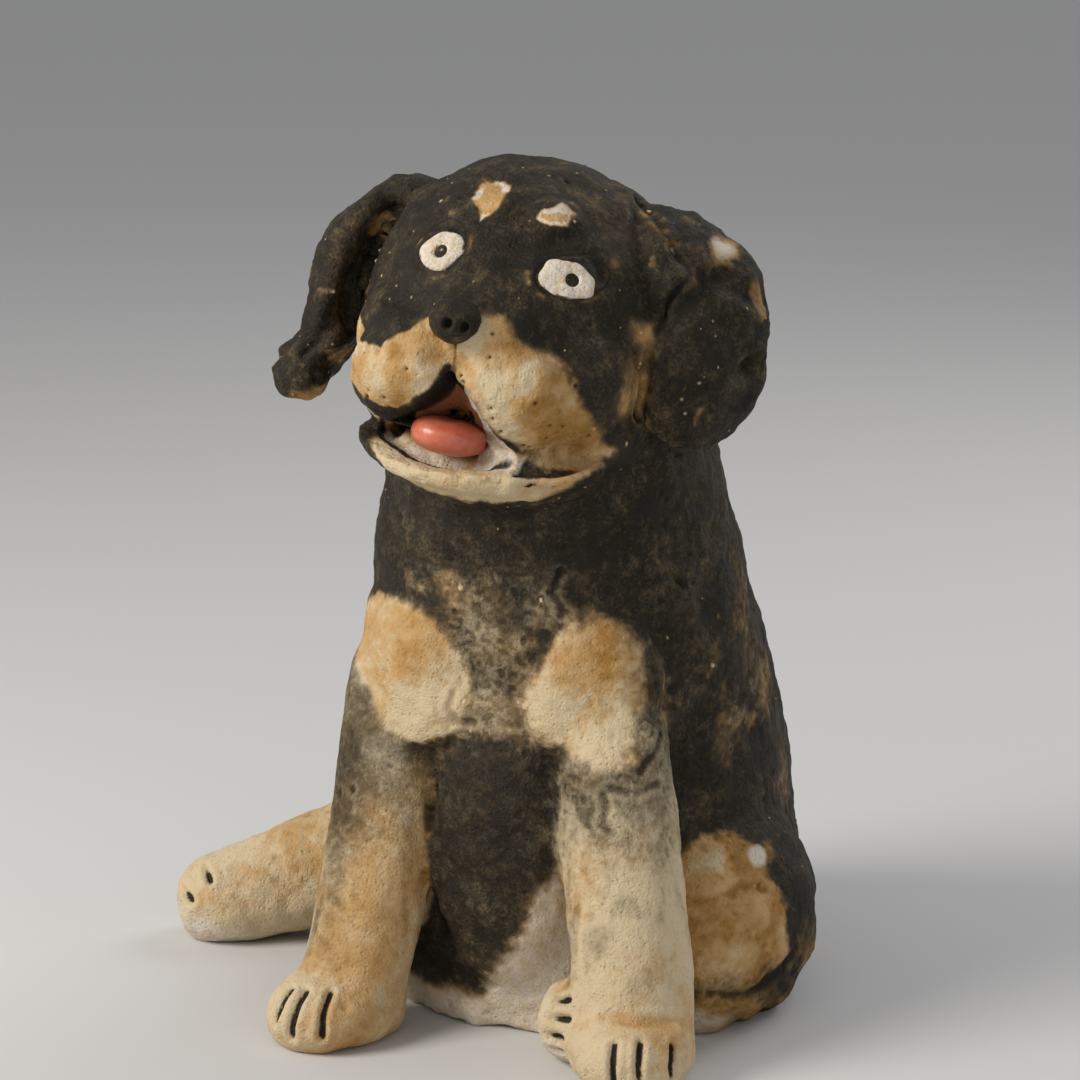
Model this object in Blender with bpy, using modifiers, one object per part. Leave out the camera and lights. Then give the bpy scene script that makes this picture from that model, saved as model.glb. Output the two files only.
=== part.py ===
"""A seated puppy figurine in hand-built ceramic.

The dog is a hollow clay column, open underneath, with a hollow pinched head set on its neck.
Everything else is a lump, coil or slab of clay luted on: muzzle pads, jaw, tongue, nose, ears,
eyes, brow spots, shoulders, chest pad, legs, paws, haunches and tail. Each is its own solid here,
and a piece that sits on another is cut back by it with a slip joint's gap.
"""

import math

import bmesh
import bpy
from mathutils import Matrix, Vector

# ---------------------------------------------------------------- driving dimensions


def mm(*values):
    """A point or size given in millimetres, in metres."""
    return Vector(values) / 1000


# The dog faces -Y, its left side is +X, and it stands on z = 0.
JOINT_GAP = 0.0004  # slip joint between two luted pieces
TORSO_WALL = 0.008
HEAD_WALL = 0.007

HEAD_CENTRE = mm(0, -50, 203)
HEAD_RADII = mm(47, 48, 45)
HEAD_ROLL = math.radians(10)  # the head leans to the dog's left
HEAD_YAW = math.radians(4)  # and turns a little the same way
SNOUT_REACH = 0.012  # how far the bridge of the snout stands out of the round skull
SNOUT_SPREAD = 0.42
NECK_HOLE_RADIUS = 0.026

EYE_SPACING = 0.0375
FACE_OFFSET = 0.0014  # the eyes and spots sit a little to the left of the middle
EYE_HEIGHT = 0.021  # above the head's centre
EYE_RADII = mm(7.5, 3.2, 6.8)
PUPIL_RADIUS = 0.0015
PUPIL_DEPTH = 0.0028
BROW_SPACING = 0.019
BROW_HEIGHT = 0.0345
BROW_RADII = mm(6.5, 3, 5.5)

SNOUT_OFFSET = -0.0028  # the nose and the cleft sit to the right of the middle
NOSE_CENTRE = Vector((SNOUT_OFFSET, -0.0615, 0.0075))  # in the head's own frame, like all the face
NOSE_RADII = mm(8, 6.5, 6.8)
NOSTRIL_RADIUS = 0.0013
NOSTRIL_SPACING = 0.0052
NOSTRIL_LENGTH = 0.005
NOSTRIL_LIFT = 0.0006  # above the middle of the nose
PAD_CENTRE = mm(14, -43, -10)
PAD_RADII = mm(21, 18, 16.5)
PAD_PITCH = math.radians(-8)
PAD_DROOP = math.radians(24)  # the outer ends hang lower
PAD_SWEEP = math.radians(28)  # and lie further back
JAW_CENTRE = mm(0, -25, -28)
JAW_RADII = mm(37, 35, 20)
JAW_WALL = 0.007
JAW_ROLL = math.radians(-5)  # back towards level from the head's roll
JAW_RIM = -0.0295  # height of the lower lip
TONGUE_CENTRE = mm(-4, -43.5, -23.8)
TONGUE_RADII = mm(11, 12.5, 5.4)
TONGUE_TILT = (math.radians(8), 0, 0)

SHOULDER_CENTRE = mm(26, -70, 103)
SHOULDER_RADII = mm(20, 12, 25)
SHOULDER_TURN = math.radians(24)
CHEST_PAD_CENTRE = mm(1, -76, 54)
CHEST_PAD_RADII = mm(20, 11, 38)
HAUNCH_CENTRE = mm(48, -26, 26)
HAUNCH_RADII = mm(27, 43, 36)
HAUNCH_TURN = math.radians(-4)

# Stations along the torso: centre's y, height, half-width, half-depth. The first two are below the cut foot.
TORSO_STATIONS = (
    (3, -40, 63, 70),
    (1, -14, 64, 71),
    (-1, 6, 65, 72),
    (-5, 32, 63, 72),
    (-12, 62, 61, 68),
    (-19, 94, 58, 62),
    (-29, 124, 53, 55),
    (-34, 152, 50, 50),
    (-43, 180, 44, 45),
    (-48, 204, 38, 38),
)

# Coils and flaps: each station is x, y, z, half-width and half-thickness in millimetres.
LEFT_EAR = (
    (28, -48, 232, 9, 6),
    (40, -50, 231, 14, 6),
    (51, -52, 222, 18, 6),
    (55.5, -53, 208, 19.5, 6),
    (55, -54, 192, 19.5, 5.5),
    (51, -56, 177, 17, 5),
    (48, -57, 168, 10, 4),
)
RIGHT_EAR = (
    (-24, -47, 236, 10, 6),
    (-38, -48, 239, 13, 6.5),
    (-50, -50, 231, 16, 7.5),
    (-57, -53, 216, 18, 9),
    (-60, -56, 201, 18, 10),
    (-64, -60, 188, 15, 11),
    (-71, -62, 180, 10, 9),
)
LEFT_FRONT_LEG = (
    (28, -62, 108, 12, 12),
    (31, -68, 92, 16, 15),
    (36, -75, 64, 17, 16),
    (42, -83, 38, 16.5, 16),
    (46, -88, 16, 16.5, 16),
    (47, -90, -8, 16.5, 16),
)
RIGHT_FRONT_LEG = (
    (-37, -57, 114, 13, 13),
    (-36, -65, 94, 16, 15),
    (-35, -75, 62, 16, 15),
    (-37, -82, 36, 15.5, 15),
    (-41, -87, 16, 16, 15.5),
    (-42, -88, -8, 16, 15.5),
)
LEFT_HIND_FOOT = (
    (50, -78, 12, 11, 11),
    (37, -84, 12, 12, 12),
    (26, -87, 12, 12, 12.5),
    (18, -87, 12, 10, 11),
)
RIGHT_HIND_LEG = (
    (-40, 4, 30, 20, 25),
    (-62, 0, 27, 20, 23),
    (-82, -8, 21.5, 17, 19),
    (-99, -17, 16, 14, 15.5),
    (-114, -25, 12.5, 13.5, 13),
    (-127, -30, 11.5, 11.5, 12),
)
TAIL = (
    (16, 58, 18, 10, 10),
    (2, 70, 16, 10, 10),
    (-16, 77, 13, 9, 9),
    (-36, 76, 10, 8, 8),
    (-54, 66, 8, 6, 6),
)
SLOPE_OF_LEFT_EAR = (0.56, 0.83, 0)  # the direction across the flap
SLOPE_OF_RIGHT_EAR = (-0.15, 0.99, 0)
SIDEWAYS = (1, 0, 0)
LENGTHWAYS = (0, 1, 0)
UPRIGHT = (0, 0, 1)

LEFT_PAW_CENTRE = mm(48, -96, 8)
RIGHT_PAW_CENTRE = mm(-43, -96, 8)
PAW_RADII = mm(18, 18.5, 13)
LEFT_PAW_TURN = math.radians(6)
RIGHT_PAW_TURN = math.radians(-14)
SLIT_SIZE = mm(1.5, 9, 14)
SLIT_SPACING = 0.0085
LEFT_HIND_SLIT_SIZE = mm(8, 11, 1.6)  # this foot lies on its side, so its slits lie flat
RIGHT_HIND_SLIT_SIZE = mm(12, 1.5, 10)
LEFT_HIND_SLITS = (mm(18, -95, 5.6), mm(18, -95, 10.7), mm(18, -95, 15.8))
RIGHT_HIND_SLITS = (mm(-120, -25, 20), mm(-120, -34, 18))

CLAY_COLOURS = {
    "black_wash": (0.035, 0.032, 0.024),
    "grey_wash": (0.10, 0.088, 0.068),
    "tan_wash": (0.52, 0.36, 0.19),
    "cream_clay": (0.62, 0.50, 0.34),
    "white_slip": (0.72, 0.68, 0.64),
    "coral_glaze": (0.66, 0.16, 0.09),
}
MATT_ROUGHNESS = 0.8
GLAZE_ROUGHNESS = 0.25

WHOLE_FACE = 0.12  # longer than any piece of the face, for the sides of box cutters
FLOOR_SIZE = (0.6, 0.6, 0.1)  # wider than the whole figurine

# ---------------------------------------------------------------- scene helpers


def clear_scene():
    for obj in list(bpy.data.objects):
        bpy.data.objects.remove(obj, do_unlink=True)


def new_collection(name):
    collection = bpy.data.collections.new(name)
    bpy.context.scene.collection.children.link(collection)
    return collection


def clay(name):
    """The Principled material of one wash, slip or glaze."""
    found = bpy.data.materials.get(name)
    if found:
        return found
    made = bpy.data.materials.new(name)
    made.use_nodes = True
    shader = made.node_tree.nodes["Principled BSDF"]
    shader.inputs["Base Color"].default_value = (*CLAY_COLOURS[name], 1)
    glazed = name == "coral_glaze"
    shader.inputs["Roughness"].default_value = GLAZE_ROUGHNESS if glazed else MATT_ROUGHNESS
    shader.inputs["Metallic"].default_value = 0
    return made


def add_object(name, mesh, parent, finish=None):
    """An object in the figurine's collection, or a hidden cutter when it has no finish."""
    obj = bpy.data.objects.new(name, mesh)
    obj.parent = parent
    if finish:
        figurine.objects.link(obj)
        mesh.materials.append(clay(finish))
        mesh.shade_smooth()
    else:
        cutters.objects.link(obj)
        obj.hide_render = True
        obj.display_type = "WIRE"
    return obj


def add_empty(name, parent=None, location=(0, 0, 0), rotation=(0, 0, 0)):
    empty = bpy.data.objects.new(name, None)
    figurine.objects.link(empty)
    empty.parent = parent
    empty.location = location
    empty.rotation_euler = rotation
    return empty


def subdivide(obj):
    """Rounds a cage, then fixes its diagonals, so that a piece and its clearance have the same facets."""
    modifier = obj.modifiers.new("soft_clay", "SUBSURF")
    modifier.levels = modifier.render_levels = 1
    obj.modifiers.new("diagonals", "TRIANGULATE").quad_method = "FIXED"
    return obj


def cut(obj, *cutters_used):
    for cutter in cutters_used:
        modifier = obj.modifiers.new("cut_" + cutter.name, "BOOLEAN")
        modifier.operation = "DIFFERENCE"
        modifier.object = cutter


def clearance(form, gap=JOINT_GAP):
    """A hidden copy of a form that is larger by the slip joint's gap, for cutting its neighbours."""
    name = f"{form.name}_clearance"
    if name in bpy.data.objects:
        return bpy.data.objects[name]
    obj = add_object(name, form.data, form.parent)
    obj.location = form.location
    obj.rotation_euler = form.rotation_euler
    if form.modifiers and form.modifiers[0].type == "SUBSURF":
        subdivide(obj)
    grow = obj.modifiers.new("grow", "DISPLACE")
    grow.strength = gap
    grow.mid_level = 0
    return obj


# ---------------------------------------------------------------- clay forms


def ball_mesh(name, radii, segments=16, rings=10, shape=None):
    """A UV sphere of three radii, with an optional function that moves each unit direction's point."""
    bm = bmesh.new()
    bmesh.ops.create_uvsphere(bm, u_segments=segments, v_segments=rings, radius=1)
    for vert in bm.verts:
        direction = vert.co.copy()
        vert.co = Vector(a * b for a, b in zip(direction, radii))
        if shape:
            vert.co += shape(direction)
    bmesh.ops.triangulate(bm, faces=bm.faces, quad_method="FIXED")
    mesh = bpy.data.meshes.new(name)
    bm.to_mesh(mesh)
    bm.free()
    return mesh


def ball(name, centre, radii, parent, finish=None, rotation=(0, 0, 0), **kind):
    obj = add_object(name, ball_mesh(name, radii, **kind), parent, finish)
    obj.location = centre
    obj.rotation_euler = rotation
    return obj


def loft(name, stations, parent, finish=None, segments=10, closed=True):
    """A soft form through oval sections, each given as (centre, across, half-width, half-depth).

    The cage is drawn larger by what the subdivision takes off a ring of this many points.
    """
    swell = 3 / (2 + math.cos(2 * math.pi / segments))
    bm = bmesh.new()
    rings = []
    for index, (centre, across, half_width, half_depth) in enumerate(stations):
        before = stations[max(index - 1, 0)][0]
        after = stations[min(index + 1, len(stations) - 1)][0]
        along = (after - before).normalized()
        side = (across - along * across.dot(along)).normalized()
        depth = along.cross(side)
        ring = []
        for step in range(segments):
            turn = 2 * math.pi * step / segments
            offset = side * half_width * math.cos(turn) + depth * half_depth * math.sin(turn)
            ring.append(bm.verts.new(centre + offset * swell))
        rings.append(ring)
    for lower, upper in zip(rings, rings[1:]):
        for step in range(segments):
            after = (step + 1) % segments
            bm.faces.new((lower[step], lower[after], upper[after], upper[step]))
    if closed:
        bm.faces.new(rings[0])
        bm.faces.new(rings[-1])
    bmesh.ops.recalc_face_normals(bm, faces=bm.faces)
    mesh = bpy.data.meshes.new(name)
    bm.to_mesh(mesh)
    bm.free()
    return subdivide(add_object(name, mesh, parent, finish))


def coil(name, across, points, finish, segments=10):
    """A rolled or flattened coil of clay through stations, its width lying across its length."""
    stations = [
        (mm(x, y, z), Vector(across), wide / 1000, deep / 1000) for x, y, z, wide, deep in points
    ]
    return loft(name, stations, root, finish, segments)


def box_cutter(name, centre, size, parent, rotation=(0, 0, 0)):
    bm = bmesh.new()
    bmesh.ops.create_cube(bm, size=1)
    bmesh.ops.scale(bm, vec=size, verts=bm.verts)
    mesh = bpy.data.meshes.new(name)
    bm.to_mesh(mesh)
    bm.free()
    obj = add_object(name, mesh, parent)
    obj.location = centre
    obj.rotation_euler = rotation
    return obj


def rod_cutter(name, centre, radius, length, parent, direction=(0, -1, 0)):
    """A round cutter centred on a point, lying along a direction."""
    bm = bmesh.new()
    bmesh.ops.create_cone(
        bm, cap_ends=True, segments=12, radius1=radius, radius2=radius, depth=length
    )
    mesh = bpy.data.meshes.new(name)
    bm.to_mesh(mesh)
    bm.free()
    obj = add_object(name, mesh, parent)
    turn = Vector(direction).to_track_quat("Z", "Y").to_matrix().to_4x4()
    obj.matrix_local = Matrix.Translation(centre) @ turn
    return obj


def mirrored(side, point):
    """A place given for the dog's left side, on either side: side is 1 for left, -1 for right."""
    return Vector((side * point[0], point[1], point[2]))


# ---------------------------------------------------------------- head and body shells


def snout(direction):
    """What the bridge of the snout adds to the skull, strongest straight ahead."""
    ahead = Vector((0, -1, 0.04)).normalized()
    away = (direction - ahead).length
    return ahead * SNOUT_REACH * math.exp(-((away / SNOUT_SPREAD) ** 2))


def skull_point(x, z):
    """The place on the front of the head at this sideways and upward offset, and its normal."""
    flat = 1 - (x / HEAD_RADII.x) ** 2 - (z / HEAD_RADII.z) ** 2
    direction = Vector((x / HEAD_RADII.x, -math.sqrt(flat), z / HEAD_RADII.z))
    point = Vector(a * b for a, b in zip(direction, HEAD_RADII)) + snout(direction)
    normal = Vector(a / b for a, b in zip(direction, HEAD_RADII)).normalized()
    return point, normal


def head_forms():
    """The filled head, which cuts its neighbours, and the hollow head shell."""
    form = ball("head_form", (0, 0, 0), HEAD_RADII, head, segments=28, rings=16, shape=snout)
    shell = ball(
        "head_shell", (0, 0, 0), HEAD_RADII, head, "black_wash", segments=28, rings=16, shape=snout
    )
    inner = HEAD_RADII - Vector((HEAD_WALL,) * 3)
    hollow = ball("head_hollow", (0, 0, 0), inner, head, segments=20, rings=12)
    neck_hole = rod_cutter(
        "neck_hole", (0, 0, -HEAD_RADII.z), NECK_HOLE_RADIUS, HEAD_RADII.z, head, (0, 0, 1)
    )
    cut(shell, hollow, neck_hole)
    return form, shell


def torso_forms():
    """The filled torso, which cuts its neighbours, and the open-ended torso shell."""
    stations = [
        (mm(0, y, z), Vector((1, 0, 0)), wide / 1000, deep / 1000)
        for y, z, wide, deep in TORSO_STATIONS
    ]
    form = loft("torso_form", stations, root, segments=16)
    shell = loft("torso_shell", stations, root, "grey_wash", segments=16, closed=False)
    wall = shell.modifiers.new("wall", "SOLIDIFY")
    wall.thickness = TORSO_WALL
    wall.offset = -1
    cut(shell, floor, clearance(head_form))
    return form, shell


# ---------------------------------------------------------------- face


def set_in_skull(name, x, z, radii, finish):
    """A flattened ball let into a socket in the head, its outer face square to the skull."""
    point, normal = skull_point(x, z)
    turn = normal.to_track_quat("-Y", "Z").to_matrix().to_4x4()
    obj = add_object(name, ball_mesh(name, radii, segments=16, rings=8), head, finish)
    obj.matrix_local = Matrix.Translation(point) @ turn
    cut(head_shell, clearance(obj))
    return obj, point, normal


def eye(side, name):
    obj, point, normal = set_in_skull(
        name, FACE_OFFSET + side * EYE_SPACING / 2, EYE_HEIGHT, EYE_RADII, "white_slip"
    )
    surface = point + normal * EYE_RADII.y
    cut(obj, rod_cutter(name + "_pupil", surface, PUPIL_RADIUS, 2 * PUPIL_DEPTH, head, normal))


def brow_spot(side, name):
    set_in_skull(name, FACE_OFFSET + side * BROW_SPACING / 2, BROW_HEIGHT, BROW_RADII, "tan_wash")


def muzzle_pad(side, name):
    """One of the two swollen lips, which meet at the cleft under the nose and droop outwards."""
    droop = (PAD_PITCH, side * PAD_DROOP, side * PAD_SWEEP)
    centre = mirrored(side, PAD_CENTRE) + Vector((SNOUT_OFFSET, 0, 0))
    pad = ball(name, centre, PAD_RADII, head, "cream_clay", droop)
    cleft = box_cutter(
        name + "_cleft",
        (SNOUT_OFFSET - side * (PAD_RADII.x - JOINT_GAP / 2), PAD_CENTRE.y, PAD_CENTRE.z),
        (2 * PAD_RADII.x, WHOLE_FACE, WHOLE_FACE),
        head,
    )
    cut(pad, clearance(head_form), cleft)
    return pad


def nose():
    obj = ball("nose", NOSE_CENTRE, NOSE_RADII, head, "black_wash", segments=16, rings=10)
    cut(obj, clearance(head_form), *map(clearance, pads))
    front = NOSE_CENTRE + Vector((0, -NOSE_RADII.y, NOSTRIL_LIFT))
    for side, name in SIDES:
        place = front + Vector((side * NOSTRIL_SPACING / 2, 0, 0))
        cut(obj, rod_cutter(name + "_nostril", place, NOSTRIL_RADIUS, NOSTRIL_LENGTH, head))


def lower_jaw():
    """A scooped slab under the muzzle, whose rim is the lower lip."""
    jaw = ball("lower_jaw", JAW_CENTRE, JAW_RADII, head, "cream_clay", segments=24, rings=12)
    inner = JAW_RADII - Vector((JAW_WALL,) * 3)
    scoop = ball("jaw_scoop", JAW_CENTRE, inner, head, segments=20, rings=10)
    above_lip = (0, JAW_CENTRE.y, JAW_RIM + WHOLE_FACE / 2)
    above = box_cutter("above_lip", above_lip, (WHOLE_FACE,) * 3, head, (0, JAW_ROLL, 0))
    cut(jaw, scoop, above, clearance(head_form), clearance(torso_form), *map(clearance, pads))


def tongue():
    obj = ball("tongue", TONGUE_CENTRE, TONGUE_RADII, head, "coral_glaze", TONGUE_TILT)
    cut(obj, clearance(head_form), *map(clearance, pads))


def ear(name, across, points):
    """A hanging ear, luted to the side of the head."""
    obj = coil(name, across, points, "black_wash")
    cut(obj, clearance(head_form), clearance(torso_form))


# ---------------------------------------------------------------- body pieces


def shoulder_pad(side, name):
    turn = (0, 0, side * SHOULDER_TURN)
    pad = ball(name, mirrored(side, SHOULDER_CENTRE), SHOULDER_RADII, root, "tan_wash", turn)
    cut(pad, clearance(torso_form))
    return pad


def chest_pad():
    pad = ball("chest_pad", CHEST_PAD_CENTRE, CHEST_PAD_RADII, root, "black_wash")
    cut(pad, clearance(torso_form), *map(clearance, shoulders))
    return pad


def front_leg(name, points, shoulder):
    leg = coil(name, SIDEWAYS, points, "cream_clay")
    cut(leg, floor, clearance(torso_form), clearance(shoulder), clearance(chest))
    return leg


def front_paw(name, centre, turn, leg):
    """A paw in front of a leg's foot, with three slits between its toes."""
    paw = ball(name, centre, PAW_RADII, root, "cream_clay", (0, 0, turn), segments=20)
    facing = Matrix.Rotation(turn, 3, "Z")
    for step in (-1, 0, 1):
        place = centre + facing @ Vector((step * SLIT_SPACING, -PAW_RADII.y, PAW_RADII.z / 2))
        slit = box_cutter(f"{name}_slit_{step + 2}", place, SLIT_SIZE, root, (0, 0, turn))
        cut(paw, slit)
    cut(paw, floor, clearance(torso_form), clearance(leg))
    return paw


def haunch(side, name, leg):
    turn = (0, 0, side * HAUNCH_TURN)
    centre = mirrored(side, HAUNCH_CENTRE)
    obj = ball(name, centre, HAUNCH_RADII, root, "tan_wash", turn, segments=20, rings=12)
    cut(obj, floor, clearance(torso_form), clearance(leg))
    return obj


def hind_foot(name, points, slit_places, slit_size, neighbours):
    """A hind leg or foot, its toes marked by slits at the end of the coil."""
    foot = coil(name, LENGTHWAYS, points, "cream_clay")
    for index, place in enumerate(slit_places):
        cut(foot, box_cutter(f"{name}_slit_{index + 1}", place, slit_size, root))
    cut(foot, floor, clearance(torso_form), *map(clearance, neighbours))
    return foot


# ---------------------------------------------------------------- build


def centre_on_origin():
    """Moves the figurine so that the middle of its bounding box's base is at the origin."""
    bpy.context.view_layer.update()
    graph = bpy.context.evaluated_depsgraph_get()
    corners = []
    for obj in figurine.objects:
        if obj.type == "MESH":
            evaluated = obj.evaluated_get(graph)
            corners += [evaluated.matrix_world @ vert.co for vert in evaluated.data.vertices]
    for axis in (0, 1):
        values = [corner[axis] for corner in corners]
        root.location[axis] = -(min(values) + max(values)) / 2


SIDES = ((1, "left"), (-1, "right"))

clear_scene()
figurine = new_collection("puppy_figurine")
cutters = new_collection("cutters")

root = add_empty("figurine_origin")
head = add_empty("head_frame", root, HEAD_CENTRE, (0, HEAD_ROLL, HEAD_YAW))
floor = box_cutter("floor", (0, 0, -FLOOR_SIZE[2] / 2), FLOOR_SIZE, root)

head_form, head_shell = head_forms()
torso_form, torso_shell = torso_forms()
for side, name in SIDES:
    eye(side, name + "_eye")
    brow_spot(side, name + "_brow_spot")
pads = [muzzle_pad(side, name + "_muzzle_pad") for side, name in SIDES]
nose()
lower_jaw()
tongue()
ear("left_ear", SLOPE_OF_LEFT_EAR, LEFT_EAR)
ear("right_ear", SLOPE_OF_RIGHT_EAR, RIGHT_EAR)

shoulders = [shoulder_pad(side, name + "_shoulder_pad") for side, name in SIDES]
chest = chest_pad()
left_leg = front_leg("left_front_leg", LEFT_FRONT_LEG, shoulders[0])
right_leg = front_leg("right_front_leg", RIGHT_FRONT_LEG, shoulders[1])
left_paw = front_paw("left_front_paw", LEFT_PAW_CENTRE, LEFT_PAW_TURN, left_leg)
front_paw("right_front_paw", RIGHT_PAW_CENTRE, RIGHT_PAW_TURN, right_leg)
left_haunch = haunch(1, "left_haunch", left_leg)
right_haunch = haunch(-1, "right_haunch", right_leg)
left_neighbours = (left_leg, left_paw, left_haunch, chest)
hind_foot(
    "left_hind_foot", LEFT_HIND_FOOT, LEFT_HIND_SLITS, LEFT_HIND_SLIT_SIZE, left_neighbours
)
hind_foot(
    "right_hind_leg", RIGHT_HIND_LEG, RIGHT_HIND_SLITS, RIGHT_HIND_SLIT_SIZE, (right_haunch,)
)
tail = coil("tail", UPRIGHT, TAIL, "black_wash", segments=8)
cut(tail, floor, clearance(torso_form))
centre_on_origin()
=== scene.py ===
"""The looks of a seated puppy figurine, hand-built in clay, washed with black and ochre and fired.

One skin of clay is pressed round all the luted pieces, roughened, scored and painted point by point,
and then parted again into one closed piece of clay for each piece of the frame. The eyes, nose and
tongue are modelled on their own. Places are in millimetres: on the body from the middle of the foot
as (left, forward, up), and on the head from its centre along the head's own tilted axes.
"""

import math

import bmesh
import bpy
import numpy as np
from mathutils import Euler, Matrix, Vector
from mathutils.kdtree import KDTree


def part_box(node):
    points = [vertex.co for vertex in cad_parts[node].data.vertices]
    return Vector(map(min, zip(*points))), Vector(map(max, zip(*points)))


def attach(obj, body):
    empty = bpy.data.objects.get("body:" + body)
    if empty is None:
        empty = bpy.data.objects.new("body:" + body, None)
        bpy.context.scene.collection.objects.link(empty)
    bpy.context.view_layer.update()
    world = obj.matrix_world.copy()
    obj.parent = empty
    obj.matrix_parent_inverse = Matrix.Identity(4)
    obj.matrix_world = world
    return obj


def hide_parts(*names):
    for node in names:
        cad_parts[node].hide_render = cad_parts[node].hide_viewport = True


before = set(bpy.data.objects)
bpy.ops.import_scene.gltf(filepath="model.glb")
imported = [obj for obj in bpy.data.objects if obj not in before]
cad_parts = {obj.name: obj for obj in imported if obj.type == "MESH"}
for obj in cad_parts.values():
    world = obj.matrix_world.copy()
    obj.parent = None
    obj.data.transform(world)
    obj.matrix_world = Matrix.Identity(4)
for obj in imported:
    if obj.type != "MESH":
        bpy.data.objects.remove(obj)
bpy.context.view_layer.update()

# ---------------------------------------------------------------- sizes and places, in millimetres

LATTICE = 48  # points along each side of the block of random numbers that noise repeats
COARSE_CELL = 1.8  # edge of the skin's cells before they are halved
SWELL = 0.5  # each piece grows by this much, so that neighbours merge
SKIN_DEPTH = 2.6  # thickness of each parted piece of clay
FLOOR_CLAY = 4  # thickness of the clay that closes the foot while the skin is made
BUNG_RADII = (61, 68)
FOOT_HALF_DEPTH = 71.25
HEAD_PLACE = (0, 50, 203)
HEAD_TILT = Euler((0, math.radians(10), math.radians(4)))
CLOSE_UP_CENTRE = (0, 60, 200)
CLOSE_UP_REACH = 66  # the face has finer cells out to this distance
CLOSE_UP_POWER = 1.6

CLAY_PIECES = (
    "torso_shell",
    "head_shell",
    "left_muzzle_pad",
    "right_muzzle_pad",
    "lower_jaw",
    "left_brow_spot",
    "right_brow_spot",
    "left_ear",
    "right_ear",
    "left_shoulder_pad",
    "right_shoulder_pad",
    "chest_pad",
    "left_front_leg",
    "right_front_leg",
    "left_front_paw",
    "right_front_paw",
    "left_haunch",
    "right_haunch",
    "left_hind_foot",
    "right_hind_leg",
    "tail",
)
FILLERS = ("left_eye", "right_eye")
OPEN_FOOT = len(CLAY_PIECES)  # label of the cells that close the foot, which are left out
OPENING_RADII = (55, 62)
OPENING_TOP = 1.4

# ---------------------------------------------------------------- frames of reference


def foot_centre():
    low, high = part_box("torso_shell")
    return np.array(((low.x + high.x) / 2, high.y - FOOT_HALF_DEPTH / 1000, 0))


ORIGIN = foot_centre()
MIRROR_Y = np.array((1, -1, 1))
HEAD_ORIGIN = ORIGIN + np.array(HEAD_PLACE) * MIRROR_Y / 1000
HEAD_AXES = np.array(HEAD_TILT.to_matrix())


def on_body(points):
    """Points of the row frame as (left, forward, up) from the middle of the foot."""
    return (points - ORIGIN) * 1000 * MIRROR_Y


def on_head(points):
    """Points of the row frame as (left, forward, up) from the head's centre, along its own axes."""
    return ((points - HEAD_ORIGIN) @ HEAD_AXES) * 1000 * MIRROR_Y


def from_body(points):
    return ORIGIN + np.asarray(points, float) * MIRROR_Y / 1000


def from_head(points):
    return HEAD_ORIGIN + (np.asarray(points, float) * MIRROR_Y / 1000) @ HEAD_AXES.T


# ---------------------------------------------------------------- noise and soft steps


def value_noise(points, size, seed):
    """Smooth noise from -1 to 1 whose lumps are about this many millimetres across."""
    lattice = np.random.default_rng(seed).uniform(-1, 1, LATTICE**3)
    scaled = points / size
    cell = np.floor(scaled)
    x, y, z = ((scaled - cell) ** 2 * (3 - 2 * (scaled - cell))).T
    low = cell.astype(int) % LATTICE
    high = (low + 1) % LATTICE
    total = np.zeros(len(points))
    for i, x_share in ((low[:, 0], 1 - x), (high[:, 0], x)):
        for j, y_share in ((low[:, 1], 1 - y), (high[:, 1], y)):
            row = (i * LATTICE + j) * LATTICE
            total += x_share * y_share * ((1 - z) * lattice[row + low[:, 2]] + z * lattice[row + high[:, 2]])
    return total


def layered_noise(points, size, seed, layers=3, fade=0.5):
    total = np.zeros(len(points))
    strength = 1
    for layer in range(layers):
        total += strength * value_noise(points, size * 0.5**layer, seed + layer)
        strength *= fade
    return total


def soft_step(low, high, values):
    part = np.clip((values - low) / (high - low), 0, 1)
    return part * part * (3 - 2 * part)


def oval(points, centre, radii, border=0.25):
    """1 inside an oval and 0 outside, with a soft border that is a share of its radius."""
    away = np.linalg.norm((points - np.asarray(centre, float)) / radii, axis=1)
    return 1 - soft_step(1 - border / 2, 1 + border / 2, away)


def distance_to_line(points, line):
    """Distance from each point to a line through several places."""
    nearest = np.full(len(points), 1e9)
    for start, end in zip(line, line[1:]):
        start, end = np.array(start, float), np.array(end, float)
        along = end - start
        share = np.clip(((points - start) @ along) / (along @ along), 0, 1)
        nearest = np.minimum(nearest, np.linalg.norm(points - start - share[:, None] * along, axis=1))
    return nearest


def inside_outline(points, outline, border=1.0, axes=(0, 2)):
    """1 inside a closed outline drawn on two of the axes and 0 outside, soft over its border."""
    flat = points[:, axes]
    corners = np.array(outline, float)
    ends = np.roll(corners, -1, axis=0)
    crossings = np.zeros(len(flat), bool)
    nearest = np.full(len(flat), 1e9)
    for start, end in zip(corners, ends):
        along = end - start
        share = np.clip(((flat - start) @ along) / (along @ along), 0, 1)
        nearest = np.minimum(nearest, np.linalg.norm(flat - start - share[:, None] * along, axis=1))
        spans = (start[1] > flat[:, 1]) != (end[1] > flat[:, 1])
        rise = along[1] if along[1] else 1e-9
        crossings ^= spans & (flat[:, 0] < start[0] + (flat[:, 1] - start[1]) * along[0] / rise)
    return soft_step(-border, border, np.where(crossings, nearest, -nearest))


def bump(points, centre, radius, height):
    """A soft rise or, with a negative height, a soft dent round one place."""
    away = np.linalg.norm((points - centre) / radius, axis=1)
    return height * np.exp(-(away**2))


def score(points, line, width, depth):
    """A scored line, as a fall of the surface with its clay raised a little on both sides."""
    away = distance_to_line(points, line) / width
    return -depth * np.exp(-(away**2)) + 0.25 * depth * np.exp(-((away - 1.9) ** 2))


# ---------------------------------------------------------------- skin of clay


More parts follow.
